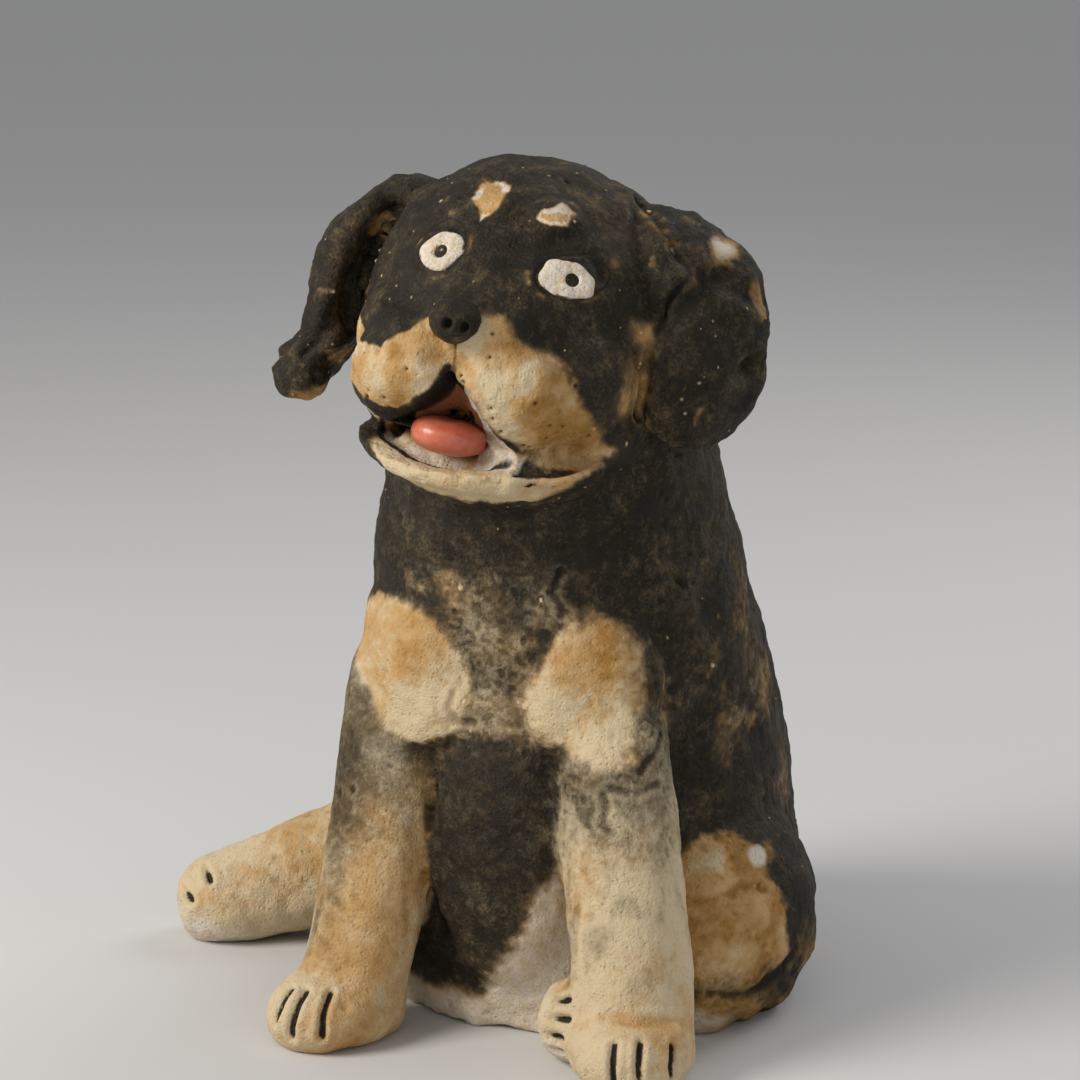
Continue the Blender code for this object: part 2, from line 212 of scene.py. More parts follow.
class Skin:
    """A closed sheet of four-cornered cells, with its points in the row frame."""

    def __init__(self, points, cells):
        self.points = points
        self.cells = cells
        sides = np.stack((cells, np.roll(cells, -1, axis=1)), axis=2).reshape(-1, 2)
        ordered = np.sort(sides, axis=1)
        keys = ordered[:, 0] * len(points) + ordered[:, 1]
        unique, inverse = np.unique(keys, return_inverse=True)
        self.edges = np.stack((unique // len(points), unique % len(points)), axis=1)
        self.side_edge = inverse.reshape(-1, 4)
        self.count = self.spread(np.ones(len(points)))

    def spread(self, values):
        """The sum of a value over each point's neighbours."""
        first, second = self.edges.T
        size = len(self.points)
        return np.bincount(first, values[second], size) + np.bincount(second, values[first], size)

    def mean(self, values):
        if values.ndim == 1:
            return self.spread(values) / self.count
        return np.stack([self.mean(column) for column in values.T], axis=1)

    def relax(self, rounds, weight=0.5):
        weight = np.asarray(weight)
        if weight.ndim:
            weight = weight[:, None]
        for _ in range(rounds):
            self.points = self.points + weight * (self.mean(self.points) - self.points)

    def blur(self, values, rounds):
        for _ in range(rounds):
            values = 0.5 * values + 0.5 * self.mean(values)
        return values

    def normals(self):
        corner = self.points[self.cells]
        face = np.cross(corner[:, 2] - corner[:, 0], corner[:, 3] - corner[:, 1])
        total = np.zeros_like(self.points)
        for axis in range(3):
            weights = np.repeat(face[:, axis], 4)
            total[:, axis] = np.bincount(self.cells.ravel(), weights, len(self.points))
        return total / np.maximum(np.linalg.norm(total, axis=1, keepdims=True), 1e-12)

    def halved(self):
        """The same sheet with four cells in place of each one."""
        size, edge_count = len(self.points), len(self.edges)
        middles = self.points[self.edges].mean(axis=1)
        centres = self.points[self.cells].mean(axis=1)
        middle = size + self.side_edge
        centre = size + edge_count + np.arange(len(self.cells))
        cells = np.stack(
            [
                np.stack((self.cells[:, k], middle[:, k], centre, middle[:, k - 1]), axis=1)
                for k in range(4)
            ],
            axis=1,
        ).reshape(-1, 4)
        return Skin(np.concatenate((self.points, middles, centres)), cells)


def magnified(points, power):
    """Points drawn away from the face's middle, so that cells of one size are finer there."""
    centre = from_body(CLOSE_UP_CENTRE)
    reach = CLOSE_UP_REACH / 1000
    away = points - centre
    distance = np.linalg.norm(away, axis=1, keepdims=True)
    distance = np.maximum(distance, 1e-9)
    moved = np.where(distance < reach, distance * power, distance + reach * (power - 1))
    return centre + away * moved / distance


def restored(points, power):
    centre = from_body(CLOSE_UP_CENTRE)
    reach = CLOSE_UP_REACH / 1000
    away = points - centre
    distance = np.maximum(np.linalg.norm(away, axis=1, keepdims=True), 1e-9)
    moved = np.where(distance < reach * power, distance / power, distance - reach * (power - 1))
    return centre + away * moved / distance


def add_lump(union, centre, radii, head):
    """Adds an oval lump of clay that fills a hollow between two pieces."""
    made = bmesh.ops.create_uvsphere(union, u_segments=32, v_segments=20, radius=1)["verts"]
    for vert in made:
        place = Vector(a * b for a, b in zip(vert.co, radii))
        local = np.array([np.array(centre) + np.array(place)])
        vert.co = Vector((from_head(local) if head else from_body(local))[0])
    turned = {face for vert in made for face in vert.link_faces}
    bmesh.ops.reverse_faces(union, faces=list(turned))


# Lumps of clay between the pieces: centre, radii, and whether they are placed on the head
LUMPS = (
    ((-37, 52, 108), (13, 16, 24), False),  # right shoulder
    ((0, 40, 4), (20, 20, 14), True),  # bridge of the snout, between the pads
    ((22, 30, -8), (19, 20, 20), True),  # left cheek
    ((-24, 30, -6), (17, 18, 18), True),  # right cheek
    ((30, 12, -20), (14, 20, 18), True),  # left corner of the mouth
    ((-30, 14, -18), (12, 18, 16), True),  # right corner of the mouth
    ((35, 24, -22), (8, 14, 10), True),  # left end of the jaw
    ((20, 38, -30.5), (18, 14, 4.8), True),  # lip pressed up under the left pad
    ((-30, 26, -22), (8, 14, 9), True),  # right end of the jaw
    ((0, 33, -37), (29, 23, 7), True),  # floor of the mouth
    ((-66, 66, 181), (9, 10, 9), False),  # tip of the right ear
    ((0, 42, 179), (43, 45, 20), False),  # neck
)


def pressed_clay():
    """All the clay pieces and lumps in one mesh, each a closed form a little larger than its own."""
    union = bmesh.new()
    for name in CLAY_PIECES + FILLERS:
        piece = bmesh.new()
        piece.from_mesh(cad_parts[name].data)
        bmesh.ops.remove_doubles(piece, verts=piece.verts, dist=1e-5)
        piece.normal_update()
        for vert in piece.verts:
            vert.co += vert.normal * (SWELL / 1000)
        mesh = bpy.data.meshes.new("piece")
        piece.to_mesh(mesh)
        piece.free()
        union.from_mesh(mesh)
        bpy.data.meshes.remove(mesh)
    for centre, radii, head in LUMPS:
        add_lump(union, centre, radii, head)
    bung = bmesh.ops.create_cone(
        union, cap_ends=True, segments=48, radius1=1, radius2=1, depth=1
    )["verts"]
    for vert in bung:
        x, y, z = vert.co
        vert.co = Vector(from_body((x * BUNG_RADII[0], y * BUNG_RADII[1], (z + 0.5) * FLOOR_CLAY)))
    turned = {face for vert in bung for face in vert.link_faces}
    bmesh.ops.reverse_faces(union, faces=list(turned))
    places = np.array([vert.co for vert in union.verts])
    for vert, place in zip(union.verts, magnified(places, CLOSE_UP_POWER)):
        vert.co = place
    mesh = bpy.data.meshes.new("pressed_clay")
    union.to_mesh(mesh)
    union.free()
    return mesh


def largest_part(points, cells):
    """The cells joined to the outside of the figure, without those round its sealed hollow."""
    parent = np.arange(len(points))
    sides = np.stack((cells, np.roll(cells, -1, axis=1)), axis=2).reshape(-1, 2)
    while True:
        low = parent.copy()
        np.minimum.at(low, sides[:, 0], parent[sides[:, 1]])
        np.minimum.at(low, sides[:, 1], low[sides[:, 0]])
        low = low[low]
        low = low[low]
        if (low == parent).all():
            break
        parent = low
    names, counts = np.unique(parent[cells[:, 0]], return_counts=True)
    kept = cells[parent[cells[:, 0]] == names[counts.argmax()]]
    used, inverse = np.unique(kept, return_inverse=True)
    return points[used], inverse.reshape(-1, 4)


def coarse_skin():
    mesh = pressed_clay()
    obj = bpy.data.objects.new("pressed_clay", mesh)
    bpy.context.scene.collection.objects.link(obj)
    remesh = obj.modifiers.new("cells", "REMESH")
    remesh.mode = "VOXEL"
    remesh.voxel_size = COARSE_CELL / 1000
    graph = bpy.context.evaluated_depsgraph_get()
    skin = bpy.data.meshes.new_from_object(obj.evaluated_get(graph))
    points = np.zeros(len(skin.vertices) * 3)
    skin.vertices.foreach_get("co", points)
    cells = np.zeros(len(skin.loops), int)
    skin.loops.foreach_get("vertex_index", cells)
    bpy.data.objects.remove(obj)
    bpy.data.meshes.remove(skin)
    bpy.data.meshes.remove(mesh)
    points = restored(points.reshape(-1, 3), CLOSE_UP_POWER)
    return Skin(*largest_part(points, cells.reshape(-1, 4)))


# ---------------------------------------------------------------- which piece each cell belongs to


def surface_samples(name, spacing=2.0):
    """Points spread evenly over a frame piece's surface."""
    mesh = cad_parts[name].data
    mesh.calc_loop_triangles()
    corners = np.array([[mesh.vertices[i].co for i in t.vertices] for t in mesh.loop_triangles])
    area = np.linalg.norm(np.cross(corners[:, 1] - corners[:, 0], corners[:, 2] - corners[:, 0]), axis=1) / 2
    random = np.random.default_rng(11)
    count = int(area.sum() * 1e6 / spacing**2) + 50
    chosen = random.choice(len(corners), count, p=area / area.sum())
    first, second = random.random((2, count, 1))
    flip = first + second > 1
    first, second = np.where(flip, 1 - first, first), np.where(flip, 1 - second, second)
    base = corners[chosen]
    return base[:, 0] + first * (base[:, 1] - base[:, 0]) + second * (base[:, 2] - base[:, 0])


def nearest_pieces(skin):
    """The number of the clay piece nearest to each point of the skin."""
    samples = [surface_samples(name) for name in CLAY_PIECES]
    tree = KDTree(sum(len(points) for points in samples))
    for number, points in enumerate(samples):
        for point in points:
            tree.insert(point, number)
    tree.balance()
    return np.array([tree.find(point)[1] for point in skin.points])


def shares_of_pieces(skin):
    """For each point of the skin, a share for each clay piece, softened over its neighbours."""
    owner = nearest_pieces(skin)
    shares = np.zeros((len(skin.points), len(CLAY_PIECES)))
    shares[np.arange(len(owner)), owner] = 1
    return skin.blur(shares, 4)


def linked_cells(skin, cell_piece):
    """A group number for each cell, the same for cells of one piece that share an edge."""
    order = np.argsort(skin.side_edge.ravel(), kind="stable")
    edge_cells = np.repeat(np.arange(len(skin.cells)), 4)[order].reshape(-1, 2)
    same = cell_piece[edge_cells[:, 0]] == cell_piece[edge_cells[:, 1]]
    first, second = edge_cells[same].T
    group = np.arange(len(skin.cells))
    while True:
        low = group.copy()
        np.minimum.at(low, first, group[second])
        np.minimum.at(low, second, low[first])
        low = low[low]
        low = low[low]
        if (low == group).all():
            return group, edge_cells
        group = low


def clean_parting(skin, cell_piece):
    """Gives stray islands to their neighbours, and leaves no point where a piece touches itself."""
    for _ in range(12):
        changed = False
        group, edge_cells = linked_cells(skin, cell_piece)
        names, counts = np.unique(group, return_counts=True)
        for piece in range(OPEN_FOOT + 1):
            mine = [(c, n) for n, c in zip(names, counts) if cell_piece[n] == piece]
            for _, name in sorted(mine, reverse=True)[1:]:
                inside = group == name
                touching = inside[edge_cells[:, 0]] != inside[edge_cells[:, 1]]
                one_side, other_side = edge_cells[touching].T
                near = np.where(inside[one_side], other_side, one_side)
                cell_piece[inside] = np.bincount(cell_piece[near]).argmax()
                changed = True
        border = cell_piece[edge_cells[:, 0]] != cell_piece[edge_cells[:, 1]]
        for piece in range(OPEN_FOOT + 1):
            mine = border & (cell_piece[edge_cells] == piece).any(axis=1)
            ends = np.bincount(skin.edges[mine].ravel(), minlength=len(skin.points))
            pinched = ends > 2
            if pinched.any():
                cell_piece[pinched[skin.cells].any(axis=1)] = piece
                changed = True
                border = cell_piece[edge_cells[:, 0]] != cell_piece[edge_cells[:, 1]]
        if not changed:
            break
    return cell_piece


# ---------------------------------------------------------------- face and body places

RIGHT_EYE_PLACE = (-16.3, 44, 23.0)
LEFT_EYE_PLACE = (20.2, 42, 22)
RIGHT_EYE_RADII = (6.5, 6.0)
LEFT_EYE_RADII = (8.1, 5.2)
NOSE_PLACE = (-3.6, 59.5, 7.2)
NOSE_RADII = (7.2, 6.6, 6.0)
JAW_DROP = 4  # how far the middle of the lower lip hangs below its ends
TONGUE_PLACE = (-3.6, 45.5, -27.0)
TONGUE_RADII = (10.4, 12.5, 5.2)

# Outlines on the head, as (left, up)
RIGHT_TAN = ((-40, -2), (-32, -5), (-23, -4.5), (-17, 1.5), (-12, 6), (-5, 9), (-2.8, 4), (-3, -6),
             (-8, -13.5), (-16, -20), (-23, -20.5), (-30, -19), (-40, -16))
LEFT_TAN = ((-2.6, 8), (4, 10.5), (8.5, 10.5), (14, 4.5), (20, 2.5), (25, 0.5), (30, -5), (33, -11),
            (35, -18), (35.5, -25), (30, -27.5), (22, -25.5), (13, -21), (7, -14.5), (1, -9), (-2.5, -5))
MOUTH_ROOF = ((-3, -7.5), (1.5, -10.5), (6, -15), (10, -21), (14, -26), (-20, -26), (-14, -22), (-8, -16.5))
RIGHT_BROW = ((-14.5, 39.5), (-15.5, 36.5), (-11.5, 34.5), (-8.8, 31), (-6.2, 33.5), (-4.5, 37),
              (-5.5, 40), (-10, 41))
LEFT_BROW = ((6.6, 34), (7.5, 37.5), (11.5, 39), (15, 37.2), (15, 34.2), (11, 33.4))
JAW_BAND = ((-46, -12), (-40, -23), (-36, -26), (-30, -30), (-22, -34.5), (-15, -39.5), (-7, -42.5),
            (5, -43), (15, -40.5), (22, -38), (30, -34), (36, -29), (40, -22), (30, -18), (0, -20),
            (-28, -14))
PALATE = ((-2.5, -11), (3, -15), (5, -20), (5.5, -27), (-16, -27), (-13, -21))
PALE_CHIPS = ((-0.5, 0, -9.5), (3, 0, -13), (5.5, 0, -16.5), (8, 0, -20.5), (12, 0, -24))
MOUTH_CORNER = ((19, 0, -27.4), (22, 0, -27.8), (29, 0, -27.8), (37, 0, -25.5))
CHEEK = ((36, 12), (41, 12.5), (42.5, 2), (43, -9), (41, -15), (39.5, -12), (39.5, -3), (37.5, 5))
RIGHT_EAR_ROOT = (-45, 50, 205)
# Folds of the ears: line, width and depth
EAR_FOLDS = (
    (((-36, 66, 234), (-41, 69, 224), (-44, 71, 212), (-46, 71, 200)), 5, 4.0),
    (((-58, 60, 238), (-64, 58, 226), (-68, 58, 214)), 2.6, 0.9),
    (((-66, 70, 196), (-72, 68, 190), (-76, 64, 184)), 2.4, 1.0),
    (((48, 64, 226), (56, 58, 219), (63, 50, 214)), 3.0, 1.2),
    (((50, 70, 200), (58, 64, 203), (66, 55, 206)), 2.6, 1.0),
    (((47, 72, 188), (53, 69, 183), (60, 62, 180)), 2.6, 1.1),
    (((46, 68, 172), (52, 66, 170), (56, 62, 171)), 2.0, 0.8),
)
SKULL_SEAM = ((24, 2, 38.5), (33, 10, 36), (40, 14, 31), (46, 15, 25), (44, 22, 18), (42, 25, 8),
              (42, 25, -4), (40, 24, -16))
CLEFT = ((-3.2, 60, 3), (-3.0, 60, -3), (-2.8, 59, -9))

# Outlines on the front of the body, as (left, up)
RIGHT_SHOULDER = ((-41, 124), (-47, 119), (-50, 112), (-46, 105), (-38, 96), (-31, 89), (-22, 85),
                  (-13, 88), (-9, 94), (-6.5, 102), (-8.5, 112), (-17, 120), (-28, 124))
LEFT_SHOULDER = ((20, 121), (24, 125), (32, 123.5), (38.5, 116), (42, 104), (43, 88), (34, 84),
                 (24, 88.5), (12.5, 93), (8.5, 100), (15, 110))
CHEST_OVAL = ((-19, 60), (-19, 72), (-13, 86), (-5, 91), (4, 92), (16, 91), (23, 86), (24, 70),
              (21, 55), (12, 38), (4, 26), (-2, 6), (-10, 8), (-19, 26), (-20, 45))
LEG_BLOB = ((20, 84), (27, 83), (34, 79), (37, 73), (35, 66), (31, 67), (27, 74), (22, 74))
WHITE_CHEST = ((13, 38), (22, 56), (27, 52), (24, 36), (22, 8), (-6, 6), (-3, 14), (5, 24))

# Outline on the left haunch, as (forward, up)
HAUNCH_CHIP = ((62, 60), (50, 61), (46, 54), (52, 49), (60, 52))

# Lumps on the left haunch: place, radii and height
HAUNCH_FOLDS = (
    ((57, 58, 48), (9, 10, 6), 1.8),
    ((65, 50, 37), (7, 9, 6), 2.2),
    ((62, 58, 24), (9, 11, 8), 2.0),
    ((70, 42, 24), (6, 6, 8), 1.4),
    ((68, 42, 9), (9, 10, 6), 1.6),
    ((74, 22, 18), (8, 10, 9), 1.6),
)
HAUNCH_CRACKS = (
    ((54, 64, 37), (60, 57, 36), (66, 50, 30), (70, 43, 31)),
    ((60, 60, 43), (65, 51, 44), (69, 43, 42)),
    ((59, 62, 15), (66, 52, 13), (71, 43, 16), (74, 34, 22)),
    ((70, 40, 14), (72, 34, 9), (73, 28, 4)),
)

CHEST_CRACK = ((-11, 81, 101), (-12.5, 81, 97), (-10, 80, 93), (-5, 80, 93))
LEG_CRACKS = (
    ((36.5, 87, 78), (37.5, 88, 74), (36.5, 89, 70), (40, 89, 68)),
    ((38.5, 87, 80), (44, 83, 78), (48, 78, 80)),
    ((44.7, 81, 84), (47, 77, 88), (47, 72, 92)),
    ((40, 64, 133), (44, 57, 135), (47, 53, 131)),
    ((20, 79, 138), (18, 80, 132), (21, 79, 127)),
)
# Left edge of the chest's dark pad: a scored line with painted shade along it
OVAL_EDGE = ((-12, 81, 87), (-18, 80, 76), (-20, 79, 60), (-20, 77, 42), (-18, 75, 28))
PAW_SLITS = (
    ((48.8, 111, 15), (49.3, 114, 10), (49.6, 114, 4)),
    ((55.6, 109, 16), (56.4, 112.5, 10), (57, 112.5, 4)),
    ((62.6, 102.5, 14), (63.6, 105.5, 9), (64.2, 105, 4)),
    ((-50.4, 107.5, 17), (-52, 111, 12), (-53.4, 112, 8)),
    ((-45.4, 108.5, 18), (-46.6, 113, 12), (-47.2, 114, 5)),
    ((-38.2, 107, 18.5), (-38.2, 112, 13), (-38, 113.5, 6)),
)
HIND_SLITS = (
    ((18, 95.5, 20), (24, 96.5, 20), (31, 95, 20.5)),
    ((18, 97.5, 15.3), (24, 98.5, 15.3), (31, 97.5, 15.6)),
    ((18, 98, 10.2), (24, 98.5, 10.2), (31, 97.5, 10)),
    ((18, 97, 5.6), (24, 97.5, 5.4), (31, 97, 5.6)),
    ((-118.5, 27, 22.5), (-115.5, 32, 22.5), (-112.5, 36, 20.5)),
    ((-122.5, 31, 17.5), (-120.5, 35, 17), (-117.5, 38.5, 14.5)),
)


# ---------------------------------------------------------------- sculpting


def settle_ears(points, left_ear, right_ear):
    """Draws the ears in a little and lifts their lower ends, which are thinner than plain coils."""
    body = on_body(points)
    height = body[:, 2]
    right = -0.07 * (body - RIGHT_EAR_ROOT)
    right[:, 2] += 3.5 * soft_step(200, 178, height)
    right[:, 0] += 2.5 * np.exp(-(((height - 203) / 9) ** 2)) * soft_step(-62, -74, body[:, 0])
    left = np.zeros_like(body)
    left[:, 2] = 2.0 * soft_step(188, 172, height)
    move = right * right_ear[:, None] + left * left_ear[:, None]
    return points + move * MIRROR_Y / 1000


def part_shares(coarse, fine, shares, names, rounds=6):
    """How much each fine point belongs to some pieces, from 0 to 1, soft at their borders."""
    columns = [CLAY_PIECES.index(name) for name in names]
    values = shares[:, columns].sum(axis=1)
    middles = values[coarse.edges].mean(axis=1)
    centres = values[coarse.cells].mean(axis=1)
    return fine.blur(np.concatenate((values, middles, centres)), rounds)


def sculpt(fine, rest, part):
    """Lumps, dents, creases, slits, cracks and pits, each a rise along the skin's own direction."""
    body, head = rest
    on_face = part("face")
    legs = part("legs")
    rough = 1 - 0.55 * on_face - 0.45 * legs

    rise = 1.1 * layered_noise(body, 27, 1, 2) * (1 - 0.5 * on_face)
    rise += rough * 0.6 * layered_noise(body, 9, 5, 2)
    rise += rough * 0.26 * layered_noise(body, 3, 9, 2)
    ears = part("ears")
    rise += ears * (0.9 * layered_noise(body, 12, 19, 2) + 0.4 * layered_noise(body, 4.5, 23, 2))
    skull = on_face * soft_step(24, 34, head[:, 2] - 0.25 * head[:, 1] + 10)
    rise += skull * (1.1 * layered_noise(body, 15, 3, 2) + 0.35 * layered_noise(body, 4.5, 13, 2))
    muzzle = on_face * soft_step(30, 44, head[:, 1]) * soft_step(6, -2, head[:, 2])
    rise += muzzle * (0.55 * layered_noise(body, 8, 15, 2) + 0.2 * layered_noise(body, 2.6, 17, 2))
    low_rim = (1 - soft_step(3, 14, body[:, 2])) * part("body")
    rise += 1.1 * low_rim * layered_noise(body * (1, 1, 0.3), 9, 25, 2)

    crumbly = oval(body, (10, 80, 95), (34, 30, 42), 0.8) + oval(body, (48, 70, 80), (16, 30, 26), 0.8)
    crumbly += 0.5 * part("body")
    crumbs = layered_noise(body, 3.4, 21, 2)
    rise += crumbly * (0.32 * soft_step(0.35, 1.0, crumbs) - 0.32 * soft_step(0.35, 1.0, -crumbs))

    rise += sculpt_face(head)
    rise += sculpt_ears(body)
    rise += sculpt_body(body)
    fine.points = fine.points + fine.normals() * (rise / 1000)[:, None]

    jaw = part("jaw") * soft_step(-41, -34, head[:, 2]) * (1 - (head[:, 0] / 36).clip(-1, 1) ** 2)
    fine.points = fine.points - (jaw * JAW_DROP / 1000)[:, None] * (HEAD_AXES @ np.array((0, 0, 1)))
    roof = inside_outline(head, MOUTH_ROOF, 1.2) * soft_step(44, 50, head[:, 1])
    inward = HEAD_AXES @ np.array((0, 1, 0))
    fine.points = fine.points + (roof * 6.5 / 1000)[:, None] * inward
    fine.points[:, 2] = np.maximum(fine.points[:, 2], 0)
    return roof


def eye_ring(head, place, radii):
    """Distance outside an eye's outline, as a share of its radius, and whether it is in front."""
    offset = (head - place)[:, (0, 2)] / radii
    away = np.linalg.norm(offset, axis=1)
    return np.where(head[:, 1] > 25, away, 9)


def sculpt_face(head):
    rise = np.zeros(len(head))
    for place, radii in ((RIGHT_EYE_PLACE, RIGHT_EYE_RADII), (LEFT_EYE_PLACE, LEFT_EYE_RADII)):
        away = eye_ring(head, place, radii)
        rise -= 1.0 * (1 - soft_step(0.8, 1.02, away))
        rise -= 0.35 * np.exp(-(((away - 1.04) / 0.09) ** 2))
        rise += 0.25 * np.exp(-(((away - 1.4) / 0.2) ** 2))
    rise += score(head, CLEFT, 1.1, 1.8)
    rise += score(head, SKULL_SEAM, 1.3, 1.6)
    rise += bump(head, (-2, 27, 37), (3.5, 8, 6), 1.3)  # rolled edge beside the right brow spot
    rise += bump(head, (-18, 26, 34), (4, 8, 5), 1.0)
    rise -= 0.7 * inside_outline(head, RIGHT_BROW, 1.0) * (head[:, 1] > 0)
    rise -= 0.5 * inside_outline(head, LEFT_BROW, 1.0) * (head[:, 1] > 0)
    rise += bump(head, (4, 40, 24), (6, 10, 6), -0.8)  # hollow between the eyes
    rise += bump(head, (30, 34, 30), (8, 10, 7), 1.2)  # brow over the left eye
    rise += bump(head, (22, 8, 39), (9, 14, 7), 1.8)  # lump on top by the left ear
    rise += bump(head, (-16, -4, 40), (12, 14, 8), 0.9)
    rise += score(head, ((15, 43, 28), (22, 41, 30), (29, 36, 28)), 1.4, 0.5)
    rise += score(head, ((18, 40, 32), (26, 36, 33), (33, 30, 29)), 1.4, 0.5)
    rise += score(head, ((-8, 56, 13), (-3.6, 58, 15), (3, 56, 13)), 1.0, 0.7)
    rise += bump(head, (-35, 40, -10), (10, 16, 12), -2.0)  # the right cheek is flatter
    rise += bump(head, (-37, 30, -24), (8, 14, 7), -2.2)  # and the lip is thin at this end
    flat = head * (1, 0, 1)
    in_front = soft_step(28, 40, head[:, 1])
    rise += in_front * score(flat, MOUTH_CORNER, 1.2, 1.4)
    return rise


def sculpt_ears(body):
    rise = bump(body, (65, 48, 192), (5, 6, 4), -4.0)  # notch in the left ear's edge
    rise += score(body, ((66, 44, 195), (60, 54, 192), (55, 61, 190)), 1.6, 1.2)
    rise += score(body, ((46, 68, 209), (54, 62, 215), (59, 52, 221)), 3.6, 2.0)
    rise += bump(body, (-68, 60, 203), (8, 9, 8), -4.5)  # waist of the right ear's outer edge
    rise += bump(body, (-72, 62, 182), (8, 9, 8), 2.5)
    for line, width, depth in EAR_FOLDS:
        rise += score(body, line, width, depth)
    rise += bump(body, (58, 58, 214), (5, 6, 9), 1.4)  # fold of the left ear
    rise += bump(body, (53, 65, 197), (5, 5, 12), 1.2)
    rise += bump(body, (56, 60, 178), (7, 7, 6), 1.6)
    rise += score(body, ((-38, 60, 236), (-42, 63, 226), (-47, 66, 214), (-50, 67, 205)), 4.0, 4.0)
    rise += bump(body, (-54, 68, 222), (6, 6, 8), 1.2)
    rise += bump(body, (-60, 72, 200), (6, 7, 9), 1.0)
    rise += score(body, ((-52, 72, 207), (-57, 73, 196), (-62, 74, 190)), 2.0, 1.3)
    return rise


def sculpt_body(body):
    rise = np.zeros(len(body))
    wander = np.stack([layered_noise(body, 6, seed, 2) for seed in (271, 281, 291)], axis=1)
    for slit in PAW_SLITS + HIND_SLITS:
        rise += score(body, slit, 1.1, 1.7)
    rise += score(body, CHEST_CRACK, 1.1, 1.3)
    for crack in LEG_CRACKS:
        rise += score(body, crack, 1.2, 1.1)
    rise += score(body, OVAL_EDGE, 1.6, 1.6)
    rise += bump(body, (-15, 82, 72), (5, 8, 16), 1.2)  # raised edge of the chest's dark pad
    rise += bump(body, (-8, 82, 96), (4, 6, 4), 1.2)
    rise += score(body, ((44, 103, 19), (52, 105, 20), (61, 98, 19)), 1.8, 1.1)  # left ankle
    rise += score(body, ((-56, 100, 24), (-44, 104, 23), (-33, 103, 24)), 2.4, 1.0)  # right ankle
    rise += bump(body, (44, 60, 134), (5, 6, 4), 1.8)  # crumb of clay on the left shoulder
    rise += bump(body, (47, 76, 90), (3, 5, 6), 1.6)
    rise += bump(body, (66, 41, 52), (5, 8, 4), 1.5)
    for place, radius, height in HAUNCH_FOLDS:
        rise += bump(body, place, radius, height)
    for crack in HAUNCH_CRACKS:
        rise += score(body + 1.2 * wander, crack, 1.5, 0.9)
    rise += bump(body, (-106, 38, 8), (20, 12, 12), 2.6)  # swollen foot of the right hind leg
    rise += score(body, ((46, 70, 60), (49, 70, 40), (52, 72, 20), (54, 72, 4)), 2.2, 2.4)
    return rise


def add_pits(fine, share, count, radius, depth, seed):
    """Small round holes at random places; gives how much each point lies in one."""
    random = np.random.default_rng(seed)
    chance = share / share.sum()
    chosen = random.choice(len(fine.points), count, p=chance)
    sizes = random.uniform(radius[0], radius[1], count)
    holes = np.zeros(len(fine.points))
    for centre, size in zip(fine.points[chosen], sizes):
        near = np.abs(fine.points - centre).max(axis=1) < size * 3 / 1000
        away = np.linalg.norm(fine.points[near] - centre, axis=1) * 1000 / size
        holes[near] = np.maximum(holes[near], np.exp(-(away**2)))
    fine.points = fine.points - fine.normals() * (holes * depth / 1000)[:, None]
    return holes


# ---------------------------------------------------------------- painting


